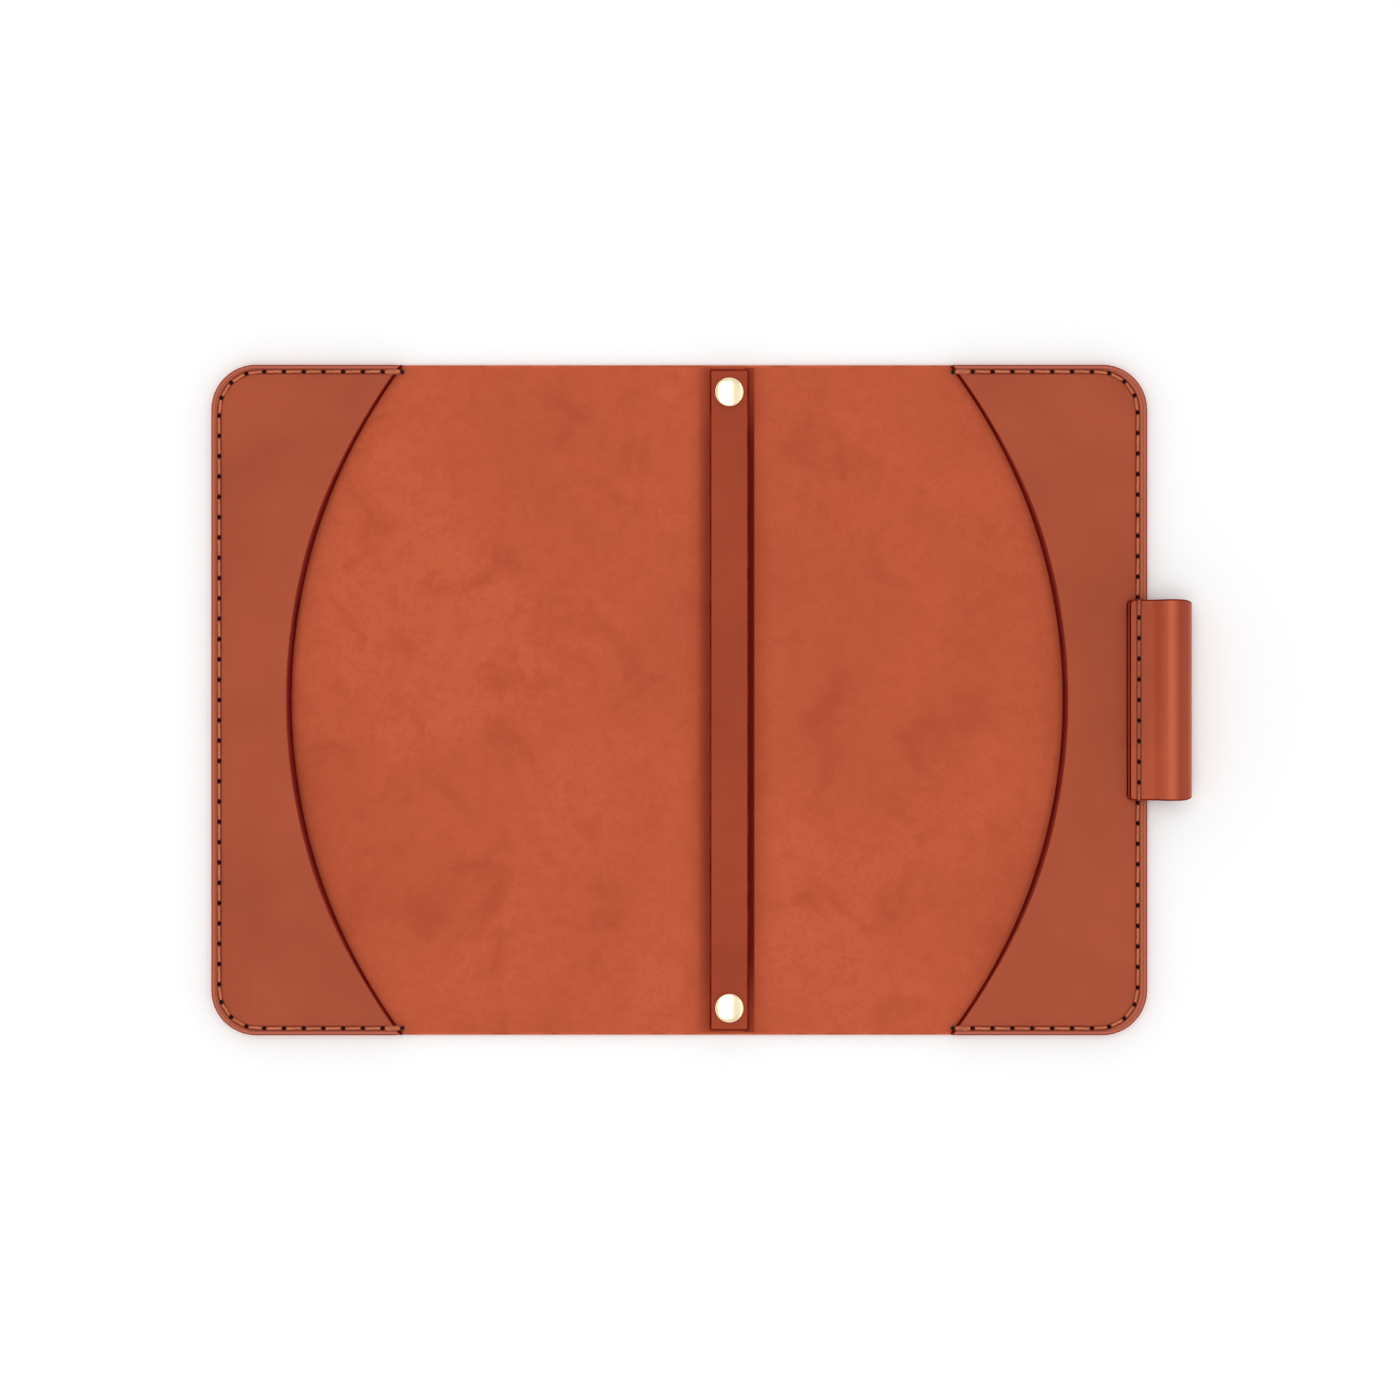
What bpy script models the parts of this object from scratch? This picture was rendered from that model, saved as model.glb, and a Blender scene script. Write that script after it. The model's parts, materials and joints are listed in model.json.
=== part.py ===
"""Passport holder wallet, lying open with its inner face up.

One leather cover folds in the middle. A pocket panel is saddle-stitched to each end of it, a keeper strap
is riveted across it beside the fold, and a pen loop is sewn into the right-hand seam.

Units are metres. X runs across the open cover, Y along its fold and Z up, out of the inner face. Outlines
are drawn from the middle of the cover, and every object is then placed so that the origin is under the
middle of the whole wallet, pen loop included. The cover's outer face lies at z = 0.

The leather at the fold makes two round bends side by side, of a quarter turn each. The middle of each bend is
a hinge between one half of the cover and a narrow spine. Its axis lies just above the inner face, where a
quarter turn about it brings the halves to exactly where the round bends would.
"""

import math
from dataclasses import dataclass

import bmesh
import bpy

# Cover
COVER_WIDTH = 0.187
COVER_HEIGHT = 0.134
COVER_THICKNESS = 0.0014
CORNER_RADIUS = 0.009
CORNER_STEPS = 6

# Fold: the radius that the inner face bends to when the cover is shut, and the gap beside the spine
BEND_RADIUS = 0.0043
SPINE_GAP = 0.0003

# Layers of leather, and the gap between one and the next
LAYER_GAP = 0.0003
POCKET_THICKNESS = 0.0011
STRAP_THICKNESS = 0.0014
LOOP_THICKNESS = 0.0010

# Pockets: the panel lies flat along its seam and rises towards its open mouth
POCKET_FLAT_MARGIN = 0.005
POCKET_LIFT = 0.001
POCKET_ROW_STEPS = 16
POCKET_COLUMN_STEPS = 4

# Seams
SEAM_END_INSET = 0.00145
SEAM_CORNER_RADIUS = 0.0078
RUN_HOLES = 8
SIDE_HOLES = 29
CORNER_HOLES = 3
SLOT_LENGTH = 0.0009
SLOT_WIDTH = 0.0015
GROOVE_DEPTH = 0.0007
THREAD_RADIUS = 0.00025
THREAD_SPLAY = 0.0003
THREAD_CLEARANCE = 0.00008

# Keeper strap and its rivets
STRAP_X = 0.010
STRAP_WIDTH = 0.0078
STRAP_LENGTH = 0.132
STRAP_BOW = 0.0008
STRAP_FLAT_END = 0.009
STRAP_STEPS = 14
RIVET_Y = 0.0614
RIVET_CAP_RADIUS = 0.0029
RIVET_CAP_HEIGHT = 0.0015
RIVET_CAP_RIM = 0.0005
RIVET_POST_RADIUS = 0.0012
RIVET_BASE_THICKNESS = 0.0005
RIVET_GAP = 0.0003
RIVET_SIDES = 20

# Pen loop
LOOP_LENGTH = 0.040
LOOP_REACH = 0.0086
LOOP_LOWER_LEAF_X = 0.0895
LOOP_UPPER_LEAF_X = 0.0902
LOOP_THROAT_X = 0.0933
LOOP_LEAF_GAP = 0.0002
LOOP_HALF_HEIGHT = 0.0040
LOOP_HALF_WIDTH = 0.0044
LOOP_THROAT_HANDLE = 0.0010
LOOP_CURVE_STEPS = 8

# Worked out from the dimensions above
HALF_WIDTH = COVER_WIDTH / 2
HALF_HEIGHT = COVER_HEIGHT / 2
COVER_CENTER_X = -LOOP_REACH / 2
POCKET_BOTTOM = COVER_THICKNESS + LAYER_GAP
POCKET_TOP = POCKET_BOTTOM + POCKET_THICKNESS
LOWER_LEAF_Z = POCKET_TOP + LAYER_GAP + LOOP_THICKNESS / 2
UPPER_LEAF_Z = LOWER_LEAF_Z + LOOP_THICKNESS + LOOP_LEAF_GAP
LOOP_TOP = UPPER_LEAF_Z + LOOP_THICKNESS / 2
STRAP_BOTTOM = COVER_THICKNESS + LAYER_GAP
STRAP_TOP = STRAP_BOTTOM + STRAP_THICKNESS
BEND_WIDTH = BEND_RADIUS * math.pi / 2
FOLD_AXIS_X = BEND_WIDTH / 2
FOLD_AXIS_Z = COVER_THICKNESS + BEND_RADIUS - BEND_WIDTH / 2

# Leather colours, linear RGB
COVER_COLOR = (0.50, 0.096, 0.042)
POCKET_COLOR = (0.37, 0.078, 0.038)
STRAP_COLOR = (0.34, 0.061, 0.030)
LOOP_COLOR = (0.40, 0.083, 0.041)
THREAD_COLOR = (0.62, 0.22, 0.10)
BRASS_COLOR = (0.88, 0.66, 0.36)


@dataclass(frozen=True)
class Half:
    """One end of the cover, with its pocket and its seam. sign is -1 on the left and +1 on the right."""

    name: str
    sign: int
    pocket_depth: float
    mouth_radius: float
    seam_inset: float
    first_hole: float
    run_pitch: float
    side_pitch: float


LEFT = Half("left", -1, 0.0162, 0.1120, 0.00165, 0.05526, 0.00394, 0.004055)
RIGHT = Half("right", 1, 0.0170, 0.1104, 0.00195, 0.05460, 0.00397, 0.004100)


def clear_scene():
    for obj in list(bpy.data.objects):
        bpy.data.objects.remove(obj, do_unlink=True)


def paint(obj, color, roughness, metallic=0.0):
    material = bpy.data.materials.new(obj.name + "_finish")
    material.use_nodes = True
    shader = material.node_tree.nodes["Principled BSDF"]
    shader.inputs["Base Color"].default_value = (*color, 1.0)
    shader.inputs["Roughness"].default_value = roughness
    shader.inputs["Metallic"].default_value = metallic
    material.diffuse_color = (*color, 1.0)
    obj.data.materials.append(material)


def add_object(name, data):
    obj = bpy.data.objects.new(name, data)
    obj.location.x = COVER_CENTER_X
    bpy.context.scene.collection.objects.link(obj)
    return obj


def add_solid(name, shape):
    """Turns a bmesh into an object."""
    bmesh.ops.recalc_face_normals(shape, faces=shape.faces)
    mesh = bpy.data.meshes.new(name)
    shape.to_mesh(mesh)
    shape.free()
    return add_object(name, mesh)


def cut(obj, name, shape):
    """Cuts the shape out of obj with a live Boolean."""
    cutter = add_solid(name, shape)
    cutter.hide_render = True
    cutter.display_type = "WIRE"
    boolean = obj.modifiers.new(name, "BOOLEAN")
    boolean.operation = "DIFFERENCE"
    boolean.solver = "EXACT"
    boolean.object = cutter


def attach(obj, pivot):
    """Hangs obj on a pivot without moving it."""
    bpy.context.view_layer.update()
    obj.parent = pivot
    obj.matrix_parent_inverse = pivot.matrix_world.inverted()


def smooth_step(value):
    value = min(max(value, 0.0), 1.0)
    return value * value * (3.0 - 2.0 * value)


def add_prism(shape, outline, low, high):
    """Adds the outline, a list of (x, y), as a straight-sided solid from z = low to z = high."""
    bottom = [shape.verts.new((x, y, low)) for x, y in outline]
    top = [shape.verts.new((x, y, high)) for x, y in outline]
    shape.faces.new(bottom)
    shape.faces.new(top)
    for i in range(len(outline)):
        j = (i + 1) % len(outline)
        shape.faces.new((bottom[i], bottom[j], top[j], top[i]))


def circle(center_x, center_y, radius, sides):
    angles = [2 * math.pi * i / sides for i in range(sides)]
    return [(center_x + radius * math.cos(a), center_y + radius * math.sin(a)) for a in angles]


def turned(profile):
    """Spins a profile of (radius, z) about Z. It starts and ends on the axis."""
    shape = bmesh.new()
    rings = []
    for radius, z in profile:
        outline = circle(0.0, 0.0, radius, RIVET_SIDES) if radius > 0 else [(0.0, 0.0)]
        rings.append([shape.verts.new((x, y, z)) for x, y in outline])
    for lower, upper in zip(rings, rings[1:]):
        for i in range(RIVET_SIDES):
            j = (i + 1) % RIVET_SIDES
            if len(lower) == 1:
                shape.faces.new((lower[0], upper[i], upper[j]))
            elif len(upper) == 1:
                shape.faces.new((lower[i], lower[j], upper[0]))
            else:
                shape.faces.new((lower[i], lower[j], upper[j], upper[i]))
    return shape


# Seams. Each hole is (x, y, normal x, normal y), where the normal points out of the cover.


def corner_hole(half, distance, last_run_hole):
    """The point at a distance along the seam past its last hole before the corner."""
    corner_x = HALF_WIDTH - half.seam_inset - SEAM_CORNER_RADIUS
    corner_y = HALF_HEIGHT - SEAM_END_INSET - SEAM_CORNER_RADIUS
    angle = (distance - (corner_x - last_run_hole)) / SEAM_CORNER_RADIUS
    angle = min(max(angle, 0.0), math.pi / 2)
    x = corner_x + SEAM_CORNER_RADIUS * math.sin(angle)
    y = corner_y + SEAM_CORNER_RADIUS * math.cos(angle)
    return x, y, math.sin(angle), math.cos(angle)


def seam_holes(half):
    """All the holes of a seam in order: along the top, round a corner, down the side and back."""
    seam_x = HALF_WIDTH - half.seam_inset
    seam_y = HALF_HEIGHT - SEAM_END_INSET
    run = [(half.first_hole + i * half.run_pitch, seam_y, 0.0, 1.0) for i in range(RUN_HOLES)]
    side_start = half.side_pitch * (SIDE_HOLES - 1) / 2
    side = [(seam_x, side_start - i * half.side_pitch, 1.0, 0.0) for i in range(SIDE_HOLES)]
    before_arc = seam_x - SEAM_CORNER_RADIUS - run[-1][0]
    after_arc = seam_y - SEAM_CORNER_RADIUS - side_start
    corner_length = before_arc + SEAM_CORNER_RADIUS * math.pi / 2 + after_arc
    corner_pitch = corner_length / (CORNER_HOLES + 1)
    corner = [corner_hole(half, corner_pitch * (i + 1), run[-1][0]) for i in range(CORNER_HOLES)]
    start = run + corner
    end = [(x, -y, nx, -ny) for x, y, nx, ny in reversed(start)]
    return [(half.sign * x, y, half.sign * nx, ny) for x, y, nx, ny in start + side + end]


def seam_turns(holes):
    """The holes where the seam changes direction, which are all that its groove needs."""
    corner = list(range(RUN_HOLES - 1, RUN_HOLES + CORNER_HOLES + 1))
    last = len(holes) - 1
    picked = [0, *corner, *[last - i for i in reversed(corner)], last]
    return [holes[i] for i in picked]


def slots(holes, low, high):
    """One slot per hole, wider across the seam than along it."""
    shape = bmesh.new()
    along, across = SLOT_LENGTH / 2, SLOT_WIDTH / 2
    for x, y, nx, ny in holes:
        corners = [(-along, -across), (along, -across), (along, across), (-along, across)]
        outline = [(x - ny * a + nx * c, y + nx * a + ny * c) for a, c in corners]
        add_prism(shape, outline, low, high)
    return shape


def groove(holes):
    """The stitching groove in the outer face, which lets the thread lie below that face."""
    turns = seam_turns(holes)
    first_x, first_y, nx, ny = turns[0]
    overrun = SLOT_LENGTH / 2 if first_x > 0 else -SLOT_LENGTH / 2
    turns[0] = (first_x - overrun, first_y, nx, ny)
    turns[-1] = (first_x - overrun, -first_y, nx, -ny)
    half_width = SLOT_WIDTH / 2
    outside = [(x + nx * half_width, y + ny * half_width) for x, y, nx, ny in turns]
    inside = [(x - nx * half_width, y - ny * half_width) for x, y, nx, ny in turns]
    shape = bmesh.new()
    add_prism(shape, outside + inside[::-1], -GROOVE_DEPTH, GROOVE_DEPTH)
    return shape


def leather_top(half, holes, index):
    """The height of the uppermost leather at a hole. The end holes lie just outside the pocket's mouth."""
    if index in (0, len(holes) - 1):
        return COVER_THICKNESS
    if half is RIGHT and abs(holes[index][1]) < LOOP_LENGTH / 2:
        return LOOP_TOP
    return POCKET_TOP


def thread_pass(half, holes, starts_on_top):
    """One end of the thread worked along the seam, above and below by turns."""
    points = []
    for i in range(len(holes) - 1):
        on_top = (i % 2 == 0) == starts_on_top
        tops = [leather_top(half, holes, j) for j in (i, i + 1)]
        above = max(tops) + THREAD_CLEARANCE + THREAD_RADIUS
        z = above if on_top else GROOVE_DEPTH / 2
        for j in (i, i + 1):
            x, y, nx, ny = holes[j]
            splay = THREAD_SPLAY if (j % 2 == 0) == starts_on_top else -THREAD_SPLAY
            points.append((x + nx * splay, y + ny * splay, z))
    return points


def make_thread(half):
    """Saddle stitch: a single thread is worked to the end of the seam and back, and fills every gap twice."""
    holes = seam_holes(half)
    points = thread_pass(half, holes, True) + thread_pass(half, holes, False)[::-1]
    curve = bpy.data.curves.new("seam_thread_" + half.name, "CURVE")
    curve.dimensions = "3D"
    curve.bevel_depth = THREAD_RADIUS
    curve.bevel_resolution = 0
    curve.use_fill_caps = True
    spline = curve.splines.new("POLY")
    spline.points.add(len(points) - 1)
    for point, place in zip(spline.points, points):
        point.co = (*place, 1.0)
    thread = add_object("seam_thread_" + half.name, curve)
    paint(thread, THREAD_COLOR, 0.55)
    return thread


# Cover


def rounded_end(half):
    """The cover's outline round one end, from its bottom corner to its top corner."""
    center_x = HALF_WIDTH - CORNER_RADIUS
    center_y = HALF_HEIGHT - CORNER_RADIUS
    angles = [math.pi / 2 * i / CORNER_STEPS for i in range(CORNER_STEPS + 1)]
    top = [
        (half.sign * (center_x + CORNER_RADIUS * math.cos(a)), center_y + CORNER_RADIUS * math.sin(a))
        for a in angles
    ]
    bottom = [(x, -y) for x, y in reversed(top)]
    return bottom + top


def make_cover_half(half):
    inner_edge = half.sign * (FOLD_AXIS_X + SPINE_GAP / 2)
    outline = [(inner_edge, -HALF_HEIGHT), *rounded_end(half), (inner_edge, HALF_HEIGHT)]
    shape = bmesh.new()
    add_prism(shape, outline, 0.0, COVER_THICKNESS)
    name = "cover_" + half.name
    cover = add_solid(name, shape)
    holes = seam_holes(half)
    cut(cover, name + "_groove_cutter", groove(holes))
    cut(cover, name + "_stitch_cutter", slots(holes, -COVER_THICKNESS, 2 * COVER_THICKNESS))
    paint(cover, COVER_COLOR, 0.75)
    return cover


def cut_rivet_seats(cover):
    """A hole for each rivet's post, with a seat in the outer face that its base sinks into."""
    posts = bmesh.new()
    seats = bmesh.new()
    for y in (RIVET_Y, -RIVET_Y):
        post_outline = circle(STRAP_X, y, RIVET_POST_RADIUS + RIVET_GAP, RIVET_SIDES)
        seat_outline = circle(STRAP_X, y, RIVET_CAP_RADIUS + RIVET_GAP, RIVET_SIDES)
        add_prism(posts, post_outline, -COVER_THICKNESS, 2 * COVER_THICKNESS)
        add_prism(seats, seat_outline, -COVER_THICKNESS, RIVET_BASE_THICKNESS + RIVET_GAP)
    cut(cover, "cover_rivet_seat_cutter", seats)
    cut(cover, "cover_rivet_hole_cutter", posts)


def make_spine():
    edge = FOLD_AXIS_X - SPINE_GAP / 2
    outline = [(-edge, -HALF_HEIGHT), (edge, -HALF_HEIGHT), (edge, HALF_HEIGHT), (-edge, HALF_HEIGHT)]
    shape = bmesh.new()
    add_prism(shape, outline, 0.0, COVER_THICKNESS)
    spine = add_solid("spine", shape)
    paint(spine, COVER_COLOR, 0.75)
    return spine


# Pockets


def pocket_rows():
    """The y of each row across a pocket panel, with more rows round the corners."""
    straight = HALF_HEIGHT - CORNER_RADIUS
    middle = [straight * (2 * i / POCKET_ROW_STEPS - 1) for i in range(POCKET_ROW_STEPS + 1)]
    angles = [math.pi / 2 * (i + 1) / CORNER_STEPS for i in range(CORNER_STEPS)]
    top = [straight + CORNER_RADIUS * math.sin(a) for a in angles]
    return [-y for y in reversed(top)] + middle + top


def outer_edge(y):
    """How far the cover's outer edge lies from its middle, at a height y."""
    over = max(abs(y) - (HALF_HEIGHT - CORNER_RADIUS), 0.0)
    return HALF_WIDTH - CORNER_RADIUS + math.sqrt(max(CORNER_RADIUS**2 - over**2, 0.0))


def mouth_edge(half, y):
    """How far the pocket's mouth, an arc, lies from the middle of the cover."""
    center = HALF_WIDTH - half.pocket_depth - half.mouth_radius
    return center + math.sqrt(half.mouth_radius**2 - y**2)


def pocket_lift(half, x, y):
    flat_x = HALF_WIDTH - POCKET_FLAT_MARGIN
    flat_y = HALF_HEIGHT - POCKET_FLAT_MARGIN
    across = (flat_x - x) / (half.pocket_depth - POCKET_FLAT_MARGIN)
    along = 1.0 - abs(y) / flat_y
    return POCKET_LIFT * smooth_step(across) * smooth_step(2 * along)


def make_pocket(half):
    shape = bmesh.new()
    lower, upper = [], []
    for y in pocket_rows():
        outer, mouth = outer_edge(y), mouth_edge(half, y)
        margin = outer - POCKET_FLAT_MARGIN
        steps = [i / POCKET_COLUMN_STEPS for i in range(POCKET_COLUMN_STEPS + 1)]
        columns = [outer] + [margin + (mouth - margin) * step for step in steps]
        heights = [POCKET_BOTTOM + pocket_lift(half, x, y) for x in columns]
        places = [(half.sign * x, y, z) for x, z in zip(columns, heights)]
        lower.append([shape.verts.new(place) for place in places])
        upper.append([shape.verts.new((x, y, z + POCKET_THICKNESS)) for x, y, z in places])
    for grid in (lower, upper):
        for row, next_row in zip(grid, grid[1:]):
            for i in range(len(row) - 1):
                shape.faces.new((row[i], row[i + 1], next_row[i + 1], next_row[i]))
    for low_rim, high_rim in zip(rims(lower), rims(upper)):
        for i in range(len(low_rim) - 1):
            shape.faces.new((low_rim[i], low_rim[i + 1], high_rim[i + 1], high_rim[i]))
    name = "pocket_" + half.name
    pocket = add_solid(name, shape)
    sewn = seam_holes(half)[1:-1]
    cut(pocket, name + "_stitch_cutter", slots(sewn, COVER_THICKNESS, POCKET_TOP + POCKET_THICKNESS))
    paint(pocket, POCKET_COLOR, 0.5)
    return pocket


def rims(grid):
    """The four edges of a grid of vertices."""
    return grid[0], grid[-1], [row[0] for row in grid], [row[-1] for row in grid]


# Keeper strap and rivets


def make_strap():
    """A strip that lies flat at its rivets and bows clear of the cover between them."""
    shape = bmesh.new()
    bow_end = STRAP_LENGTH / 2 - STRAP_FLAT_END
    bow_places = [bow_end * (2 * i / STRAP_STEPS - 1) for i in range(STRAP_STEPS + 1)]
    stations = [-STRAP_LENGTH / 2, *bow_places, STRAP_LENGTH / 2]
    rings = []
    for y in stations:
        lift = STRAP_BOW * smooth_step(2 * (1.0 - abs(y) / bow_end))
        low, high = STRAP_BOTTOM + lift, STRAP_TOP + lift
        left, right = STRAP_X - STRAP_WIDTH / 2, STRAP_X + STRAP_WIDTH / 2
        corners = [(left, y, low), (right, y, low), (right, y, high), (left, y, high)]
        rings.append([shape.verts.new(corner) for corner in corners])
    shape.faces.new(rings[0])
    shape.faces.new(rings[-1])
    for ring, next_ring in zip(rings, rings[1:]):
        for i in range(4):
            j = (i + 1) % 4
            shape.faces.new((ring[i], ring[j], next_ring[j], next_ring[i]))
    strap = add_solid("keeper_strap", shape)
    holes = bmesh.new()
    for y in (RIVET_Y, -RIVET_Y):
        outline = circle(STRAP_X, y, RIVET_POST_RADIUS + RIVET_GAP, RIVET_SIDES)
        add_prism(holes, outline, COVER_THICKNESS, STRAP_TOP + STRAP_THICKNESS)
    cut(strap, "strap_rivet_hole_cutter", holes)
    paint(strap, STRAP_COLOR, 0.5)
    return strap


def rivet_cap_profile():
    """A shallow dome on a short rim, with a blind bore from below that takes the post."""
    bottom = STRAP_TOP + RIVET_GAP
    bore_radius = RIVET_POST_RADIUS + RIVET_GAP
    bore_top = bottom + RIVET_CAP_HEIGHT / 2
    rim_top = bottom + RIVET_CAP_RIM
    profile = [(0.0, bore_top), (bore_radius, bore_top), (bore_radius, bottom), (RIVET_CAP_RADIUS, bottom)]
    dome_height = RIVET_CAP_HEIGHT - RIVET_CAP_RIM
    for degrees in (0, 22, 42, 60, 76):
        angle = math.radians(degrees)
        profile.append((RIVET_CAP_RADIUS * math.cos(angle), rim_top + dome_height * math.sin(angle)))
    profile.append((0.0, bottom + RIVET_CAP_HEIGHT))
    return profile


def rivet_post_profile():
    """A flat round base with a post that ends inside the cap."""
    base_bottom = 0.00005
    base_top = base_bottom + RIVET_BASE_THICKNESS
    post_top = STRAP_TOP + RIVET_GAP + RIVET_CAP_HEIGHT / 2 - RIVET_GAP
    return [
        (0.0, base_bottom),
        (RIVET_CAP_RADIUS, base_bottom),
        (RIVET_CAP_RADIUS, base_top),
        (RIVET_POST_RADIUS, base_top),
        (RIVET_POST_RADIUS, post_top),
        (0.0, post_top),
    ]


def make_rivet(end_name, y):
    for part_name, profile in (("cap", rivet_cap_profile()), ("post", rivet_post_profile())):
        piece = add_solid(f"rivet_{part_name}_{end_name}", turned(profile))
        piece.location.x += STRAP_X
        piece.location.y = y
        piece.data.shade_smooth()
        piece.data.set_sharp_from_angle(angle=math.radians(35))
        paint(piece, BRASS_COLOR, 0.25, 1.0)


# Pen loop


def bezier(start, first_handle, second_handle, end, steps):
    """Points along a cubic curve, without its first one."""
    points = []
    for i in range(1, steps + 1):
        t = i / steps
        weights = ((1 - t) ** 3, 3 * t * (1 - t) ** 2, 3 * t * t * (1 - t), t**3)
        controls = (start, first_handle, second_handle, end)
        points.append(tuple(sum(w * c[k] for w, c in zip(weights, controls)) for k in (0, 1)))
    return points


def loop_centerline():
    """The strip seen end-on, as (x, z): lower leaf, out round the tube, and back as the upper leaf."""
    middle_z = (LOWER_LEAF_Z + UPPER_LEAF_Z) / 2
    radius_x = LOOP_HALF_WIDTH - LOOP_THICKNESS / 2
    radius_z = LOOP_HALF_HEIGHT - LOOP_THICKNESS / 2
    center_x = HALF_WIDTH + LOOP_REACH - LOOP_HALF_WIDTH
    bottom, top = (center_x, middle_z - radius_z), (center_x, middle_z + radius_z)
    outside = (center_x + radius_x, middle_z)
    roundness = 0.5523
    pull_x, pull_z = radius_x * roundness, radius_z * roundness
    lower_throat = (LOOP_THROAT_X, LOWER_LEAF_Z)
    upper_throat = (LOOP_THROAT_X, UPPER_LEAF_Z)
    lower_handle = (LOOP_THROAT_X + LOOP_THROAT_HANDLE, LOWER_LEAF_Z)
    upper_handle = (LOOP_THROAT_X + LOOP_THROAT_HANDLE, UPPER_LEAF_Z)
    steps = LOOP_CURVE_STEPS
    line = [(LOOP_LOWER_LEAF_X, LOWER_LEAF_Z), lower_throat]
    line += bezier(lower_throat, lower_handle, (bottom[0] - pull_x, bottom[1]), bottom, steps)
    line += bezier(bottom, (bottom[0] + pull_x, bottom[1]), (outside[0], middle_z - pull_z), outside, steps)
    line += bezier(outside, (outside[0], middle_z + pull_z), (top[0] + pull_x, top[1]), top, steps)
    line += bezier(top, (top[0] - pull_x, top[1]), upper_handle, upper_throat, steps)
    line.append((LOOP_UPPER_LEAF_X, UPPER_LEAF_Z))
    return line


def offset_line(line, distance):
    """The line moved sideways, to the left of the way it runs."""
    moved = []
    for i, (x, z) in enumerate(line):
        before, after = line[max(i - 1, 0)], line[min(i + 1, len(line) - 1)]
        run_x, run_z = after[0] - before[0], after[1] - before[1]
        length = math.hypot(run_x, run_z)
        moved.append((x - distance * run_z / length, z + distance * run_x / length))
    return moved


def make_pen_loop():
    line = loop_centerline()
    inside = offset_line(line, LOOP_THICKNESS / 2)
    outside = offset_line(line, -LOOP_THICKNESS / 2)
    shape = bmesh.new()
    ends = []
    for y in (-LOOP_LENGTH / 2, LOOP_LENGTH / 2):
        inner = [shape.verts.new((x, y, z)) for x, z in inside]
        outer = [shape.verts.new((x, y, z)) for x, z in outside]
        for i in range(len(line) - 1):
            shape.faces.new((inner[i], inner[i + 1], outer[i + 1], outer[i]))
        ends.append((inner, outer))
    (inner_a, outer_a), (inner_b, outer_b) = ends
    for low_line, high_line in ((inner_a, inner_b), (outer_a, outer_b)):
        for i in range(len(line) - 1):
            shape.faces.new((low_line[i], low_line[i + 1], high_line[i + 1], high_line[i]))
    for i in (0, -1):
        shape.faces.new((inner_a[i], outer_a[i], outer_b[i], inner_b[i]))
    loop = add_solid("pen_loop", shape)
    sewn = [hole for hole in seam_holes(RIGHT) if abs(hole[1]) < LOOP_LENGTH / 2]
    sewn = [hole for hole in sewn if hole[0] > LOOP_LOWER_LEAF_X]
    cut(loop, "loop_stitch_cutter", slots(sewn, POCKET_TOP, LOOP_TOP + LOOP_THICKNESS))
    paint(loop, LOOP_COLOR, 0.45)


# Fold axes


def make_fold_axis(name, x):
    axis = add_object(name, None)
    axis.location.x += x
    axis.location.z = FOLD_AXIS_Z
    return axis


def main():
    clear_scene()
    cover_right = make_cover_half(RIGHT)
    cut_rivet_seats(cover_right)
    make_pocket(RIGHT)
    make_thread(RIGHT)
    make_pen_loop()
    make_strap()
    make_rivet("top", RIVET_Y)
    make_rivet("bottom", -RIVET_Y)
    spine_axis = make_fold_axis("spine_bend_axis", FOLD_AXIS_X)
    cover_axis = make_fold_axis("cover_fold_axis", -FOLD_AXIS_X)
    attach(cover_axis, spine_axis)
    attach(make_spine(), spine_axis)
    for piece in (make_cover_half(LEFT), make_pocket(LEFT), make_thread(LEFT)):
        attach(piece, cover_axis)


main()
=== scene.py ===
"""The looks of the passport holder wallet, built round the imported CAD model.

Every leather piece is first laid out flat, as it is cut from the hide, with a rounded rim. It is then shaped:
a pocket lifts at its mouth, the strap bows and the pen loop is bent into a tube. The seams are real threads
that pass through punched holes. Sizes are in metres, in the frame of the CAD model.
"""

import json
import math
from dataclasses import dataclass

import bpy
import numpy as np
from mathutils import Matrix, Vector, noise


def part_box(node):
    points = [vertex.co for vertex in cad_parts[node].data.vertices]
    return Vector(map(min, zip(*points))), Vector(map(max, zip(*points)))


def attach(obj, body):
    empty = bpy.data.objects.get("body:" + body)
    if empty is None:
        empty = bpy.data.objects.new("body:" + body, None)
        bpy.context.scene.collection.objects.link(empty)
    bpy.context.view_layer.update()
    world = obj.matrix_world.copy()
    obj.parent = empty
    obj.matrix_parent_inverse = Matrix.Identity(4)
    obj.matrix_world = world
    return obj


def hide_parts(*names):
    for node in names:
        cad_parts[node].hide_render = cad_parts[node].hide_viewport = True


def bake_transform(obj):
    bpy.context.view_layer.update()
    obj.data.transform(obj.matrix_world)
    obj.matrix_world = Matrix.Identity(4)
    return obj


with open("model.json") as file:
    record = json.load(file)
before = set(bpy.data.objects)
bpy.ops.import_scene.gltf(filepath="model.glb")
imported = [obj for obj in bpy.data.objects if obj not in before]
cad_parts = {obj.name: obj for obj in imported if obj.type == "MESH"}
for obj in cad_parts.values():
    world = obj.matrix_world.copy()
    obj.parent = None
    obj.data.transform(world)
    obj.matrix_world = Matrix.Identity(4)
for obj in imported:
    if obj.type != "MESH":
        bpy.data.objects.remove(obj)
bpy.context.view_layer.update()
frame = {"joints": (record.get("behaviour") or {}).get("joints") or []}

# Places read from the frame
LEFT_LOW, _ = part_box("cover_left")
_, RIGHT_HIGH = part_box("cover_right")
LOOP_LOW, LOOP_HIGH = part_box("pen_loop")
STRAP_LOW, STRAP_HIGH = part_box("keeper_strap")
CENTER_X = (LEFT_LOW.x + RIGHT_HIGH.x) / 2
HALF_WIDTH = (RIGHT_HIGH.x - LEFT_LOW.x) / 2
HALF_HEIGHT = RIGHT_HIGH.y
COVER_TOP = RIGHT_HIGH.z
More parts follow.
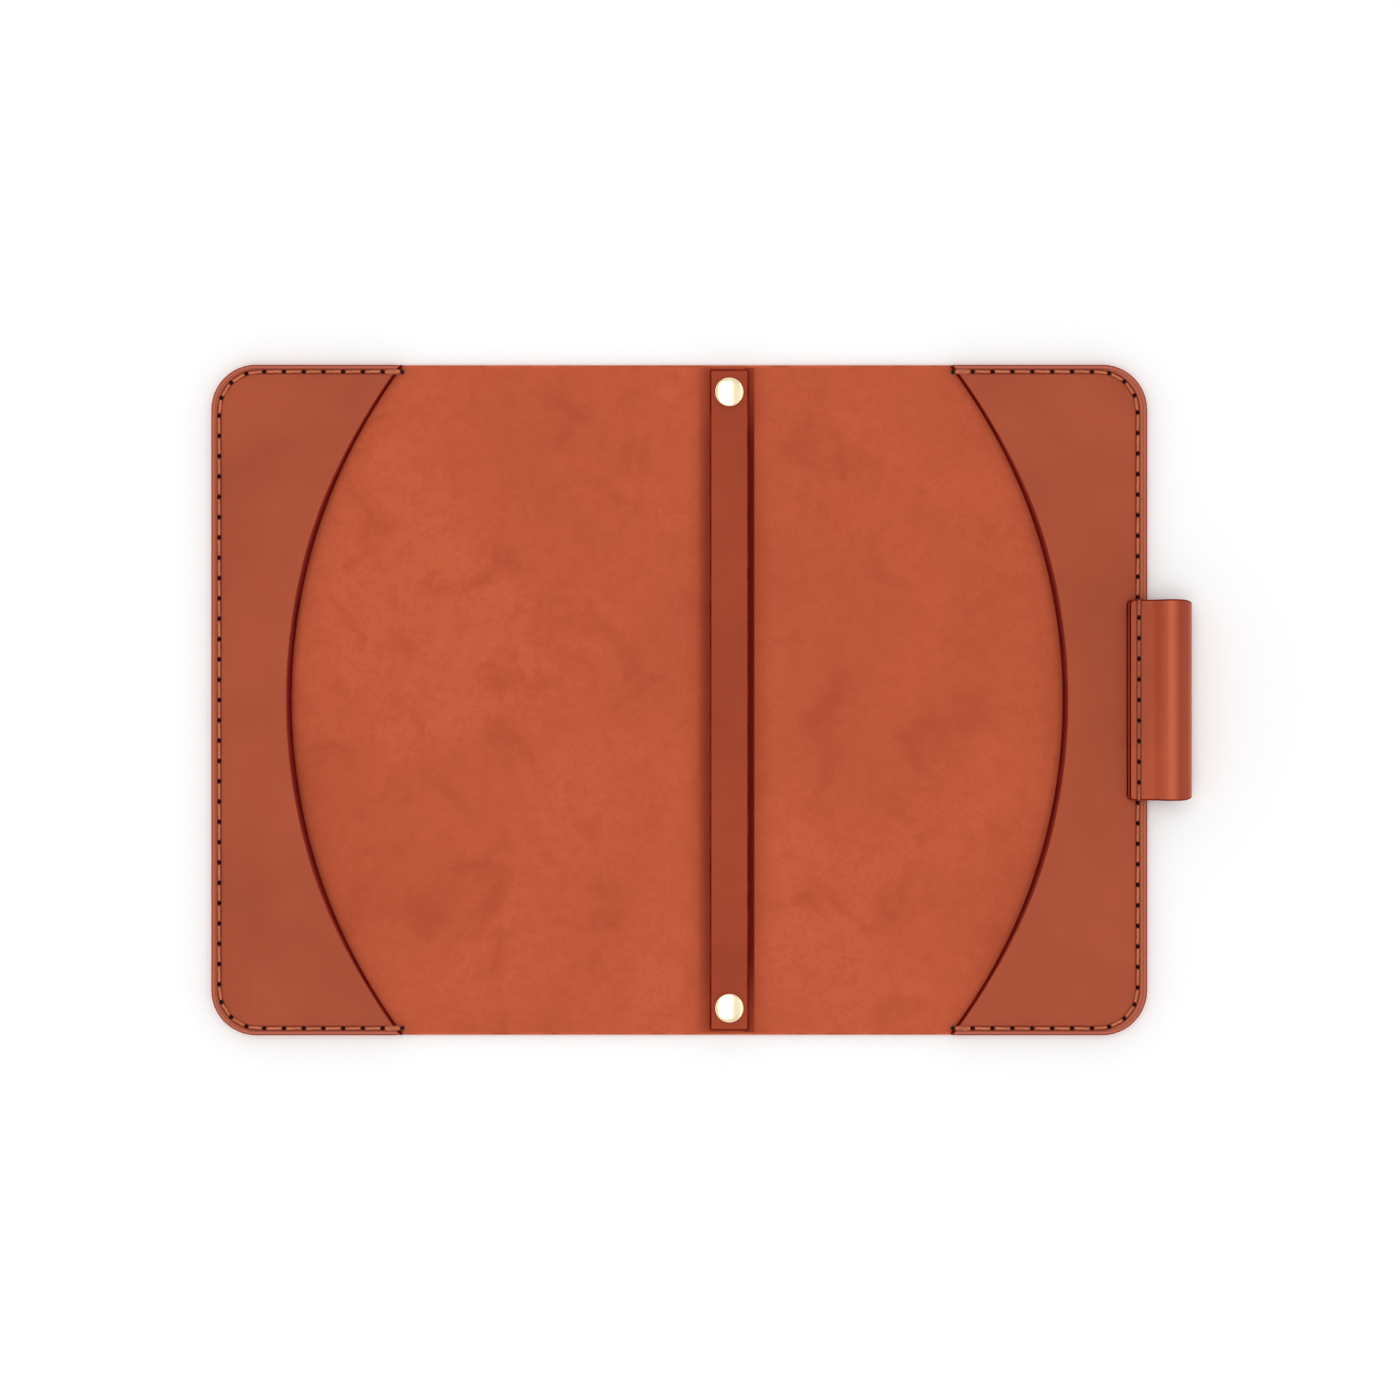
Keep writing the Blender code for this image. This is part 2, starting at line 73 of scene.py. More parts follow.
FOLD_AXES = [joint["pos_m"][0] for joint in frame["joints"]]
FOLD_PITCH = FOLD_AXES[0] - FOLD_AXES[1]
RIVET_BOXES = {end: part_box("rivet_cap_" + end) for end in ("top", "bottom")}

# Fold
FOLD_COLUMNS = 41

# Leather
CORNER_RADIUS = 0.009
LAYER_GAP = 0.00004
POCKET_THICKNESS = 0.0011
STRAP_THICKNESS = 0.0014
LOOP_THICKNESS = 0.0010
COVER_RIM = 0.0005
POCKET_RIM = 0.00048
STRAP_RIM = 0.00035
LOOP_RIM = 0.0003
RIM_STEPS = 4
GRID = 0.0015
WAVE_HEIGHT = 0.0001
WAVES_PER_METRE = 38.0

# Pocket panels
POCKET_BOTTOM = COVER_TOP + LAYER_GAP
POCKET_TOP = POCKET_BOTTOM + POCKET_THICKNESS
POCKET_FLAT_MARGIN = 0.005
POCKET_LIFT = 0.0011

# Pen loop, seen end-on
LOOP_LOWER_Z = POCKET_TOP + LAYER_GAP + LOOP_THICKNESS / 2
LOOP_UPPER_Z = LOOP_LOWER_Z + LOOP_THICKNESS + LAYER_GAP
LOOP_TOP = LOOP_UPPER_Z + LOOP_THICKNESS / 2
LOOP_THROAT_X = CENTER_X + HALF_WIDTH + 0.0001
LOOP_START_X = LOOP_LOW.x - 0.0002
LOOP_UPPER_SETBACK = 0.0004
LOOP_HALF_WIDTH = 0.0044
LOOP_CORNER = 0.0009
# Where the painted highlight runs along the pen loop's crest
LOOP_CREST_X = LOOP_HIGH.x - 0.0045
LOOP_WAIST = 0.0005
LOOP_WAIST_LENGTH = 0.0022
LOOP_THROAT_LENGTH = 0.0021
LOOP_GRID = 0.0002
CURVE_STEPS = 24
CIRCLE_PULL = 0.5523

# Seams
SEAM_END_INSET = 0.00145
SEAM_CORNER_RADIUS = 0.0078
RUN_HOLES = 8
SIDE_HOLES = 29
CORNER_HOLES = 3
HOLE_RADIUS = 0.00042
HOLE_WAIST = 0.00036
HOLE_SIDES = 14
GROOVE_RADIUS = 0.0006
GROOVE_DEPTH = 0.0006
THREAD_RADIUS = 0.00023
LOCK_THREAD_RADIUS = 0.00013
THREAD_TUCKED_RADIUS = 0.00018
THREAD_SPLAY = 0.00005
THREAD_SINK = 0.00006
THREAD_STEP = 0.00016
THREAD_SIDES = 12
THREAD_PLIES = 3
THREAD_TWIST = 0.0016
THREAD_BEND = 0.00045
THREAD_RIDGE = 0.10
TUCK_START = 0.00075
TUCK_LENGTH = 0.00045
DOUBLED_STITCH_SPREAD = 0.00038

# How far a thread is darkened towards the painted shade colour of a hole, from 0 to 1
LOOP_THREAD_DARKENING = 0.46
DOUBLED_STITCH_DARKENING = 0.42
EDGE_TURN_DARKENING = 0.62

# Strap and rivets
STRAP_STAND_OFF = 0.0002
STRAP_BOTTOM = COVER_TOP + LAYER_GAP + STRAP_STAND_OFF
STRAP_BOW = 0.0009
STRAP_CROWN = 0.00012
STRAP_FLAT_END = 0.009
STRAP_GRID = 0.0006
RIVET_SIDES = 64
RIVET_SINK = 0.00005
RIVET_BOTTOM = STRAP_BOTTOM + STRAP_THICKNESS - RIVET_SINK
RIVET_CHAMFER = 0.0002
RIVET_WALL = 0.0007
RIVET_SHOULDER = 0.0004
RIVET_CROWN = 0.0003
CROWN_STEPS = 15
POST_RADIUS = 0.0012
POST_RISE = 0.0005
POST_HOLE_RADIUS = 0.0013
SEAT_CLEARANCE = 0.0001
SEAT_DEPTH = 0.0006

# Studio
FLOOR_DROP = 0.00002
FLOOR_REACH = 3.0
LIGHT_LENGTH = 1.3
PICTURE_WIDTH = 0.280
CAMERA_X = -0.00015
LENS = 90.0
SENSOR = 36.0


@dataclass(frozen=True)
class Half:
    """One end of the cover. sign is -1 on the left and +1 on the right."""

    name: str
    sign: int
    pocket_depth: float
    mouth_radius: float
    seam_inset: float
    first_hole: float
    run_pitch: float
    side_pitch: float

    @property
    def mouth_center(self):
        """The x of the centre of the pocket mouth's arc."""
        return CENTER_X + self.sign * (HALF_WIDTH - self.pocket_depth - self.mouth_radius)


LEFT = Half("left", -1, 0.0162, 0.1120, 0.00165, 0.05526, 0.00394, 0.004055)
RIGHT = Half("right", 1, 0.0170, 0.1104, 0.00195, 0.05460, 0.00397, 0.004100)


# Materials


class Graph:
    """Builds the nodes of one material."""

    def __init__(self, name):
        self.material = bpy.data.materials.new(name)
        self.material.use_nodes = True
        self.tree = self.material.node_tree
        self.shader = self.tree.nodes["Principled BSDF"]
        self.place = self.node("ShaderNodeTexCoord").outputs["Object"]

    def feed(self, socket, value):
        if isinstance(value, bpy.types.NodeSocket):
            self.tree.links.new(value, socket)
        else:
            socket.default_value = value

    def node(self, kind, settings=None, **inputs):
        node = self.tree.nodes.new(kind)
        for key, value in (settings or {}).items():
            setattr(node, key, value)
        for key, value in inputs.items():
            self.feed(node.inputs[key.replace("_", " ")], value)
        return node

    def set(self, name, value):
        self.feed(self.shader.inputs[name], value)

    def math(self, operation, first, second=0.0):
        node = self.node("ShaderNodeMath", {"operation": operation})
        self.feed(node.inputs[0], first)
        self.feed(node.inputs[1], second)
        return node.outputs[0]

    def noise(self, scale, detail=3.0, roughness=0.5, distortion=0.0, place=None):
        node = self.node(
            "ShaderNodeTexNoise",
            Vector=place or self.place,
            Scale=scale,
            Detail=detail,
            Roughness=roughness,
            Distortion=distortion,
        )
        return node.outputs["Fac"]

    def cells(self, scale, feature="DISTANCE_TO_EDGE"):
        node = self.node("ShaderNodeTexVoronoi", {"feature": feature}, Vector=self.place, Scale=scale)
        return node.outputs["Distance"]

    def ramp(self, value, low, high, to_low=0.0, to_high=1.0):
        node = self.node("ShaderNodeMapRange", {"interpolation_type": "SMOOTHSTEP"}, Value=value)
        for key, number in (("From Min", low), ("From Max", high), ("To Min", to_low), ("To Max", to_high)):
            node.inputs[key].default_value = number
        return node.outputs[0]

    def mix(self, factor, first, second, blend="MIX"):
        node = self.node("ShaderNodeMix", {"data_type": "RGBA", "blend_type": blend})
        self.feed(node.inputs[0], factor)
        for socket, color in ((node.inputs[6], first), (node.inputs[7], second)):
            self.feed(socket, color if isinstance(color, bpy.types.NodeSocket) else (*color, 1.0))
        return node.outputs[2]

    def bump(self, height, distance, strength=1.0, under=None):
        node = self.node("ShaderNodeBump", Height=height, Distance=distance, Strength=strength)
        if under:
            self.feed(node.inputs["Normal"], under)
        return node.outputs["Normal"]

    def distance_to_line(self, x):
        """How far a point is from the line at this x that runs along Y."""
        across = self.node("ShaderNodeSeparateXYZ", Vector=self.place).outputs["X"]
        return self.math("ABSOLUTE", self.math("SUBTRACT", across, x))

    def distance_from_middle(self):
        """How far a point is from the line y = 0, which runs across the cover."""
        along = self.node("ShaderNodeSeparateXYZ", Vector=self.place).outputs["Y"]
        return self.math("ABSOLUTE", along)

    def band(self, value, low, high, soft):
        """1 where a value is between low and high, falling to 0 over a soft margin on either side."""
        rising = self.ramp(value, low - soft, low)
        falling = self.ramp(value, high, high + soft, 1.0, 0.0)
        return self.math("MULTIPLY", rising, falling)

    def distance_past_outline(self, half_width, half_height, radius):
        """How far a point is outside a round-cornered rectangle, or less than 0 where it is inside."""
        place = self.node("ShaderNodeSeparateXYZ", Vector=self.place)
        across = self.math("ABSOLUTE", self.math("SUBTRACT", place.outputs["X"], CENTER_X))
        along = self.math("ABSOLUTE", place.outputs["Y"])
        past_x = self.math("SUBTRACT", across, half_width - radius)
        past_y = self.math("SUBTRACT", along, half_height - radius)
        squares = [self.math("POWER", self.math("MAXIMUM", past), 2.0) for past in (past_x, past_y)]
        corner = self.math("SQRT", self.math("ADD", *squares))
        inner = self.math("MINIMUM", self.math("MAXIMUM", past_x, past_y))
        return self.math("SUBTRACT", self.math("ADD", corner, inner), radius)

    def distance_inside_circle(self, center_x, radius):
        """How far a point is inside a circle round (center_x, 0), measured flat."""
        flat = self.node("ShaderNodeVectorMath", {"operation": "MULTIPLY"})
        self.feed(flat.inputs[0], self.place)
        flat.inputs[1].default_value = (1.0, 1.0, 0.0)
        apart = self.node("ShaderNodeVectorMath", {"operation": "DISTANCE"})
        self.feed(apart.inputs[0], flat.outputs[0])
        apart.inputs[1].default_value = (center_x, 0.0, 0.0)
        return self.math("SUBTRACT", radius, apart.outputs["Value"])


FLESH_LIGHT = (0.54, 0.104, 0.046)
FLESH = (0.47, 0.088, 0.038)
FLESH_DARK = (0.39, 0.066, 0.027)
GRAIN_LIGHT = (0.40, 0.081, 0.036)
GRAIN = (0.37, 0.072, 0.032)
GRAIN_DARK = (0.33, 0.062, 0.027)
# Painted sheen of the sloping margin past the seams
MARGIN_SHEEN = (0.46, 0.130, 0.074)
# Dark of creases, also used as painted shade on the pen loop
CREASE_AND_SHADE = (0.20, 0.030, 0.014)
BURNISHED = (0.120, 0.0035, 0.0012)
BURNISHED_DARK = (0.080, 0.002, 0.0008)
BURNISHED_LIGHT = (0.20, 0.014, 0.006)
RAW_EDGE = (0.56, 0.118, 0.054)
RAW_EDGE_DARK = (0.42, 0.075, 0.032)
THREAD = (0.54, 0.165, 0.080)
THREAD_DARK = (0.36, 0.090, 0.040)
# Painted shade: near-black for the walls of the holes and the thread inside them
HOLE_SHADE = (0.030, 0.003, 0.0015)
HOLE_SHADE_DARK = (0.012, 0.001, 0.0005)
# Painted shadow beside the keeper strap
STRAP_SHADOW = (0.22, 0.026, 0.011)
# Painted highlight and painted reflection on the pen loop
LOOP_HIGHLIGHT = (0.52, 0.112, 0.052)
BRASS = (0.98, 0.84, 0.56)
BRASS_DARK = (0.84, 0.64, 0.36)
MATT_GLOSS = 0.08
DYED_GLOSS = 0.02


def grain_normal(graph, strength=1.0):
    """The fine pores and shallow creases of the smooth side of leather."""
    pores = graph.ramp(graph.cells(1500.0), 0.0, 0.12)
    fibre = graph.noise(2600.0, 4.0, 0.6)
    swell = graph.noise(160.0, 3.0, 0.5)
    normal = graph.bump(pores, 0.00001, 0.35 * strength)
    normal = graph.bump(fibre, 0.00003, 0.35 * strength, normal)
    return graph.bump(swell, 0.00025, 0.30 * strength, normal)


def pressed_seam(graph, half, color, normal, margin):
    """The lines pressed into the leather on either side of the stitches, and a painted sheen that makes the
    margin past them paler.
    """
    seam_size = (HALF_WIDTH - half.seam_inset, HALF_HEIGHT - SEAM_END_INSET)
    past_seam = graph.distance_past_outline(*seam_size, SEAM_CORNER_RADIUS)
    beside = graph.band(graph.math("ABSOLUTE", past_seam), 0.00024, 0.00046, 0.00014)
    # Painted sheen on the margin between the seam and the edge
    color = graph.mix(graph.ramp(past_seam, 0.0004, 0.0007, 0.0, margin), color, MARGIN_SHEEN)
    color = graph.mix(graph.math("MULTIPLY", beside, 0.8), color, CREASE_AND_SHADE)
    return color, graph.bump(graph.math("SUBTRACT", 1.0, beside), 0.00008, 0.6, normal)


def pocket_edges(graph, half, color, normal):
    """A pocket's mouth, a burnished edge widened with painted shadow and thinner towards its tips, its outer
    edge and the crease beside it.
    """
    inside = graph.distance_inside_circle(half.mouth_center, half.mouth_radius)
    mouth = graph.math("ADD", inside, graph.math("MULTIPLY", graph.noise(300.0), 0.00012))
    taper = graph.ramp(graph.distance_from_middle(), 0.030, 0.064, 0.0, 0.00045)
    mouth = graph.math("SUBTRACT", mouth, taper)
    past_edge = graph.distance_past_outline(HALF_WIDTH, HALF_HEIGHT, CORNER_RADIUS)
    crease = graph.band(past_edge, -0.00092, -0.00080, 0.00008)
    color = graph.mix(graph.math("MULTIPLY", crease, 0.55), color, CREASE_AND_SHADE)
    color = graph.mix(graph.ramp(past_edge, -0.00040, -0.00015, 0.0, 0.85), color, BURNISHED_LIGHT)
    # The dark mouth band is partly the burnished edge and partly painted shadow of the lifted mouth
    color = graph.mix(graph.ramp(mouth, -0.00112, -0.00094), color, BURNISHED_LIGHT)
    color = graph.mix(graph.ramp(mouth, -0.00085, -0.00060), color, BURNISHED)
    return color, graph.bump(graph.math("SUBTRACT", 1.0, crease), 0.00006, 0.5, normal)


def grain_leather(name, light, middle, dark, roughness, gloss=MATT_GLOSS, pocket=None, on_loop=False):
    """Smooth-side leather. pocket is the half whose pocket it is for, and on_loop adds the pen loop's seam
    lines and its painted highlight, shade and reflection.
    """
    graph = Graph(name)
    clouds = graph.noise(28.0, 3.0, 0.55, 0.6)
    streaks = graph.noise(110.0, 5.0, 0.65, 0.3)
    specks = graph.noise(900.0, 4.0, 0.7)
    color = graph.mix(graph.ramp(clouds, 0.32, 0.68), dark, light)
    color = graph.mix(graph.ramp(streaks, 0.30, 0.70, 0.15, 0.65), color, middle)
    color = graph.mix(graph.ramp(specks, 0.60, 0.80, 0.0, 0.22), color, dark)
    normal = grain_normal(graph)
    if pocket:
        color, normal = pressed_seam(graph, pocket, color, normal, 0.8)
        color, normal = pocket_edges(graph, pocket, color, normal)
    if on_loop:
        color, normal = pressed_seam(graph, RIGHT, color, normal, 0.0)
        # Painted light on the tube: a highlight along its crest, shade on its far side and a reflection along
        # its outer rim
        crest = graph.ramp(graph.distance_to_line(LOOP_CREST_X), 0.0, 0.0014, 0.85, 0.0)
        color = graph.mix(crest, color, LOOP_HIGHLIGHT)
        far_side_shade = graph.ramp(graph.distance_to_line(LOOP_HIGH.x - 0.0020), 0.0006, 0.0018, 0.48, 0.0)
        color = graph.mix(far_side_shade, color, CREASE_AND_SHADE)
        outside = graph.ramp(graph.distance_to_line(LOOP_HIGH.x), 0.0, 0.0007, 0.55, 0.0)
        color = graph.mix(outside, color, LOOP_HIGHLIGHT)
    graph.set("Base Color", color)
    graph.set("Roughness", graph.ramp(streaks, 0.2, 0.8, roughness - 0.07, roughness + 0.08))
    graph.set("Normal", normal)
    graph.set("Specular IOR Level", gloss)
    return graph.material


def strap_painted_shade(graph, color):
    """The cover beside the strap: painted shade round it, a soft painted shadow along its left edge and a
    crisp painted shadow along its right edge.
    """
    strap_x = (STRAP_LOW.x + STRAP_HIGH.x) / 2
    # Painted shade on the cover on both sides of the strap, broken up by noise
    near = graph.ramp(graph.distance_to_line(strap_x), 0.0042, 0.0095, 0.85, 0.0)
    painted_shade = graph.math("MULTIPLY", near, graph.ramp(graph.noise(150.0, 4.0), 0.1, 0.8, 0.35, 0.9))
    color = graph.mix(painted_shade, color, FLESH_DARK)
    # Painted shadow along the strap's long edges, soft on the left and crisp on the right, weaker near the
    # strap's ends
    fading = graph.ramp(graph.distance_from_middle(), 0.050, 0.064, 1.0, 0.55)
    soft = graph.ramp(graph.distance_to_line(STRAP_LOW.x - 0.0002), 0.0005, 0.0027, 0.66, 0.0)
    color = graph.mix(graph.math("MULTIPLY", soft, fading), color, STRAP_SHADOW)
    crisp = graph.ramp(graph.distance_to_line(STRAP_HIGH.x + 0.0001), 0.00085, 0.00120, 0.95, 0.0)
    return graph.mix(graph.math("MULTIPLY", crisp, fading), color, BURNISHED)


def flesh_leather():
    """The velvety inner face of the cover: short nap, soft clouds and a few darker smudges, with painted
    shade beside the strap and along the pocket mouths.
    """
    graph = Graph("flesh_leather")
    clouds = graph.noise(17.0, 2.0, 0.5, 0.8)
    smudges = graph.noise(62.0, 5.0, 0.62, 0.5)
    mottle = graph.noise(330.0, 5.0, 0.7)
    veins = graph.band(graph.noise(210.0, 5.0, 0.6, 1.4), 0.49, 0.51, 0.035)
    nap = graph.noise(1900.0, 5.0, 0.75)
    color = graph.mix(graph.ramp(clouds, 0.34, 0.66), FLESH, FLESH_LIGHT)
    color = graph.mix(graph.ramp(smudges, 0.50, 0.72, 0.0, 0.75), color, FLESH_DARK)
    color = graph.mix(graph.ramp(mottle, 0.35, 0.75, 0.0, 0.34), color, FLESH_DARK)
    color = graph.mix(graph.math("MULTIPLY", veins, 0.20), color, FLESH_DARK)
    color = graph.mix(graph.ramp(nap, 0.40, 0.75, 0.0, 0.18), color, FLESH_LIGHT)
    color = strap_painted_shade(graph, color)
    # Painted shade on the cover along each pocket's mouth
    for half in (LEFT, RIGHT):
        inside = graph.distance_inside_circle(half.mouth_center, half.mouth_radius)
        painted_shade = graph.ramp(graph.math("ABSOLUTE", inside), 0.0, 0.0014, 0.30, 0.0)
        color = graph.mix(painted_shade, color, FLESH_DARK)
    graph.set("Base Color", color)
    graph.set("Roughness", graph.ramp(mottle, 0.2, 0.8, 0.78, 0.92))
    normal = graph.bump(nap, 0.00006, 0.5)
    normal = graph.bump(mottle, 0.00008, 0.4, normal)
    graph.set("Normal", graph.bump(smudges, 0.0003, 0.25, normal))
    graph.set("Specular IOR Level", MATT_GLOSS)
    return graph.material


def edge_leather(name, color, dark, roughness, gloss=MATT_GLOSS):
    """A cut edge: fibres in thin layers, smoothed by rubbing."""
    graph = Graph(name)
    fibres = graph.noise(1400.0, 4.0, 0.6)
    patches = graph.noise(220.0, 3.0, 0.5)
    tone = graph.mix(graph.ramp(patches, 0.3, 0.7), dark, color)
    graph.set("Base Color", graph.mix(graph.ramp(fibres, 0.4, 0.8, 0.0, 0.5), tone, dark))
    graph.set("Roughness", graph.ramp(patches, 0.2, 0.8, roughness - 0.08, roughness + 0.1))
    graph.set("Normal", graph.bump(fibres, 0.00004, 0.6))
    graph.set("Specular IOR Level", gloss)
    return graph.material


def waxed_thread():
    """Twisted linen. Where it sinks into a hole it is darkened with painted shade, and some stitches are
    darkened along their length.
    """
    graph = Graph("waxed_thread")
    tucked = graph.node("ShaderNodeAttribute", {"attribute_name": "tuck"}).outputs["Fac"]
    fibres = graph.noise(3500.0, 3.0, 0.6)
    patches = graph.noise(260.0, 2.0, 0.5)
    color = graph.mix(graph.ramp(patches, 0.3, 0.7, 0.45, 0.0), THREAD, THREAD_DARK)
    color = graph.mix(graph.ramp(fibres, 0.5, 0.8, 0.0, 0.35), color, THREAD_DARK)
    # Painted shade where the thread goes into a hole
    graph.set("Base Color", graph.mix(graph.ramp(tucked, 0.25, 0.85), color, HOLE_SHADE))
    graph.set("Roughness", graph.ramp(fibres, 0.2, 0.8, 0.30, 0.50))
    graph.set("Normal", graph.bump(fibres, 0.00003, 0.5))
    graph.set("Specular IOR Level", MATT_GLOSS)
    return graph.material


def polished_brass():
    """Pale brass, polished, with faint turning marks and handling."""
    graph = Graph("polished_brass")
    tarnish = graph.noise(700.0, 4.0, 0.6)
    marks = graph.noise(2500.0, 2.0, 0.5)
    graph.set("Base Color", graph.mix(graph.ramp(tarnish, 0.45, 0.8, 0.0, 0.5), BRASS, BRASS_DARK))
    graph.set("Roughness", graph.ramp(tarnish, 0.3, 0.8, 0.10, 0.22))
    graph.set("Normal", graph.bump(marks, 0.00001, 0.25))
    graph.set("Metallic", 1.0)
    return graph.material


def make_materials():
    pocket_colors = (GRAIN_LIGHT, GRAIN, GRAIN_DARK)
    strap_colors = ((0.36, 0.060, 0.026), (0.33, 0.053, 0.022), (0.29, 0.044, 0.018))
    loop_colors = ((0.46, 0.090, 0.040), (0.40, 0.076, 0.033), (0.34, 0.062, 0.027))
    return {
        "flesh": flesh_leather(),
        "outer": grain_leather("outer_grain_leather", *pocket_colors, 0.50),
        "strap": grain_leather("strap_leather", *strap_colors, 0.46, 0.05),
        "loop": grain_leather("loop_leather", *loop_colors, 0.38, 0.10, on_loop=True),
        "pocket_left": grain_leather("left_pocket_leather", *pocket_colors, 0.50, pocket=LEFT),
        "pocket_right": grain_leather("right_pocket_leather", *pocket_colors, 0.50, pocket=RIGHT),
        "burnished": edge_leather("burnished_edge", BURNISHED, BURNISHED_DARK, 0.45, DYED_GLOSS),
        "trimmed": edge_leather("trimmed_edge", BURNISHED_LIGHT, BURNISHED, 0.45, DYED_GLOSS),
        "raw": edge_leather("cover_edge", RAW_EDGE, RAW_EDGE_DARK, 0.65),
        # Hole walls painted near-black as shade
        "hole": edge_leather("punched_hole_shade", HOLE_SHADE, HOLE_SHADE_DARK, 0.8, DYED_GLOSS),
        "thread": waxed_thread(),
        "brass": polished_brass(),
    }


# Flat pieces of leather


@dataclass
class Slab:
    """A flat piece of leather with its underside at w = 0. kinds says which side each face is on."""

    points: np.ndarray
    faces: list
    kinds: list


def boundary(rows, columns):
    """A grid's rim, anticlockwise, as (row, column, side of the edge that starts there)."""
    loop = [(0, c, "bottom") for c in range(columns - 1)]
    loop += [(r, columns - 1, "right") for r in range(rows - 1)]
    loop += [(rows - 1, c, "top") for c in range(columns - 1, 0, -1)]
    loop += [(r, 0, "left") for r in range(rows - 1, 0, -1)]
    return loop


def outward(places, sides, square):
    """Each rim point's way out of the piece. A square side isn't rounded, so nothing moves across it."""
    count = len(places)
    steps = np.roll(places, -1, axis=0) - places
    normals = np.stack([steps[:, 1], -steps[:, 0]], axis=1)
    normals /= np.linalg.norm(normals, axis=1, keepdims=True)
    result = np.zeros((count, 2))
    for i in range(count):
        pair = [normals[j] for j in (i - 1, i) if sides[j] not in square]
        if len(pair) == 2:
            total = pair[0] + pair[1]
            result[i] = total / max(1.0 + pair[0] @ pair[1], 0.55)
        elif pair:
            result[i] = pair[0]
    return result


def make_slab(grid, thickness, rim, square=()):
    """Thickens a grid of (x, y) and rounds its rim. The rows run along +x and follow each other up +y."""
    rows, columns = grid.shape[:2]
    flat = grid.reshape(-1, 2)
    loop = boundary(rows, columns)
    places = np.array([grid[r, c] for r, c, _ in loop])
    sides = [side for _, _, side in loop]
    ways = outward(places, sides, square)
    angles = [math.pi / 2 * (i + 1) / RIM_STEPS for i in range(RIM_STEPS)]
    upper = [(rim * math.sin(a), thickness - rim * (1 - math.cos(a))) for a in angles]
    lower = [(out, thickness - w) for out, w in reversed(upper)]
    layers = [np.column_stack([flat, np.full(len(flat), thickness)])]
    layers.append(np.column_stack([flat, np.zeros(len(flat))]))
    for out, w in upper + lower:
        layers.append(np.column_stack([places + ways * out, np.full(len(places), w)]))
    faces, kinds = [], []
    for r in range(rows - 1):
        for c in range(columns - 1):
            quad = [r * columns + c, r * columns + c + 1, (r + 1) * columns + c + 1, (r + 1) * columns + c]
            faces.append(quad)
            faces.append([i + len(flat) for i in reversed(quad)])
            kinds += ["face", "back"]
    first = 2 * len(flat)
    rings = [[r * columns + c for r, c, _ in loop]]
    rings += [list(range(first + k * len(loop), first + (k + 1) * len(loop))) for k in range(2 * RIM_STEPS)]
    rings.append([len(flat) + r * columns + c for r, c, _ in loop])
    for high, low in zip(rings, rings[1:]):
        for i, side in enumerate(sides):
            j = (i + 1) % len(loop)
            faces.append([high[i], low[i], low[j], high[j]])
            kinds.append(side)
    return Slab(np.concatenate(layers), faces, kinds)


def shade(mesh, angle=38.0):
    mesh.shade_smooth()
    mesh.set_sharp_from_angle(angle=math.radians(angle))


def add_mesh(name, points, faces):
    mesh = bpy.data.meshes.new(name)
    mesh.from_pydata([tuple(p) for p in points], [], faces)
    mesh.validate()
    obj = bpy.data.objects.new(name, mesh)
    bpy.context.scene.collection.objects.link(obj)
    return obj


def add_leather(name, slab, finishes):
    """An object made of a slab. finishes has a material for each kind of face, and "rim" is the default."""
    obj = add_mesh(name, slab.points, slab.faces)
    slots = []
    for material in finishes.values():
        if material not in slots:
            slots.append(material)
            obj.data.materials.append(material)
    chosen = [slots.index(finishes.get(kind, finishes["rim"])) for kind in slab.kinds]
    obj.data.polygons.foreach_set("material_index", chosen)
    shade(obj.data)
    return obj


def warp(x, y):
    """The gentle waves of leather that has been carried about, in metres."""
    return WAVE_HEIGHT * noise.noise(Vector((x * WAVES_PER_METRE, y * WAVES_PER_METRE, 0.3)))


def smooth_step(value):
    value = np.clip(value, 0.0, 1.0)
    return value * value * (3.0 - 2.0 * value)


def spread(low, high, step):
    """Evenly spaced numbers from low to high, about a step apart."""
    return np.linspace(low, high, max(int(abs(high - low) / step + 0.5), 1) + 1)


# Seams. Each hole is (x, y, normal x, normal y), where the normal points out of the cover.


def corner_hole(half, distance, last_run_hole):
    """The point at a distance along the seam past its last hole before the corner."""
    corner_x = HALF_WIDTH - half.seam_inset - SEAM_CORNER_RADIUS
    corner_y = HALF_HEIGHT - SEAM_END_INSET - SEAM_CORNER_RADIUS
    angle = (distance - (corner_x - last_run_hole)) / SEAM_CORNER_RADIUS
    angle = min(max(angle, 0.0), math.pi / 2)
    x = corner_x + SEAM_CORNER_RADIUS * math.sin(angle)
    y = corner_y + SEAM_CORNER_RADIUS * math.cos(angle)
    return x, y, math.sin(angle), math.cos(angle)


def seam_holes(half):
    """All the holes of a seam in order: along the top, round a corner, down the side and back."""
    seam_x = HALF_WIDTH - half.seam_inset
    seam_y = HALF_HEIGHT - SEAM_END_INSET
    run = [(half.first_hole + i * half.run_pitch, seam_y, 0.0, 1.0) for i in range(RUN_HOLES)]
    side_start = half.side_pitch * (SIDE_HOLES - 1) / 2
    side = [(seam_x, side_start - i * half.side_pitch, 1.0, 0.0) for i in range(SIDE_HOLES)]
    before_arc = seam_x - SEAM_CORNER_RADIUS - run[-1][0]
    after_arc = seam_y - SEAM_CORNER_RADIUS - side_start
    corner_length = before_arc + SEAM_CORNER_RADIUS * math.pi / 2 + after_arc
    corner_pitch = corner_length / (CORNER_HOLES + 1)
    corner = [corner_hole(half, corner_pitch * (i + 1), run[-1][0]) for i in range(CORNER_HOLES)]
    start = run + corner
    end = [(x, -y, nx, -ny) for x, y, nx, ny in reversed(start)]
    return [(CENTER_X + half.sign * x, y, half.sign * nx, ny) for x, y, nx, ny in start + side + end]


def in_loop(half, y):
    return half is RIGHT and LOOP_LOW.y < y < LOOP_HIGH.y


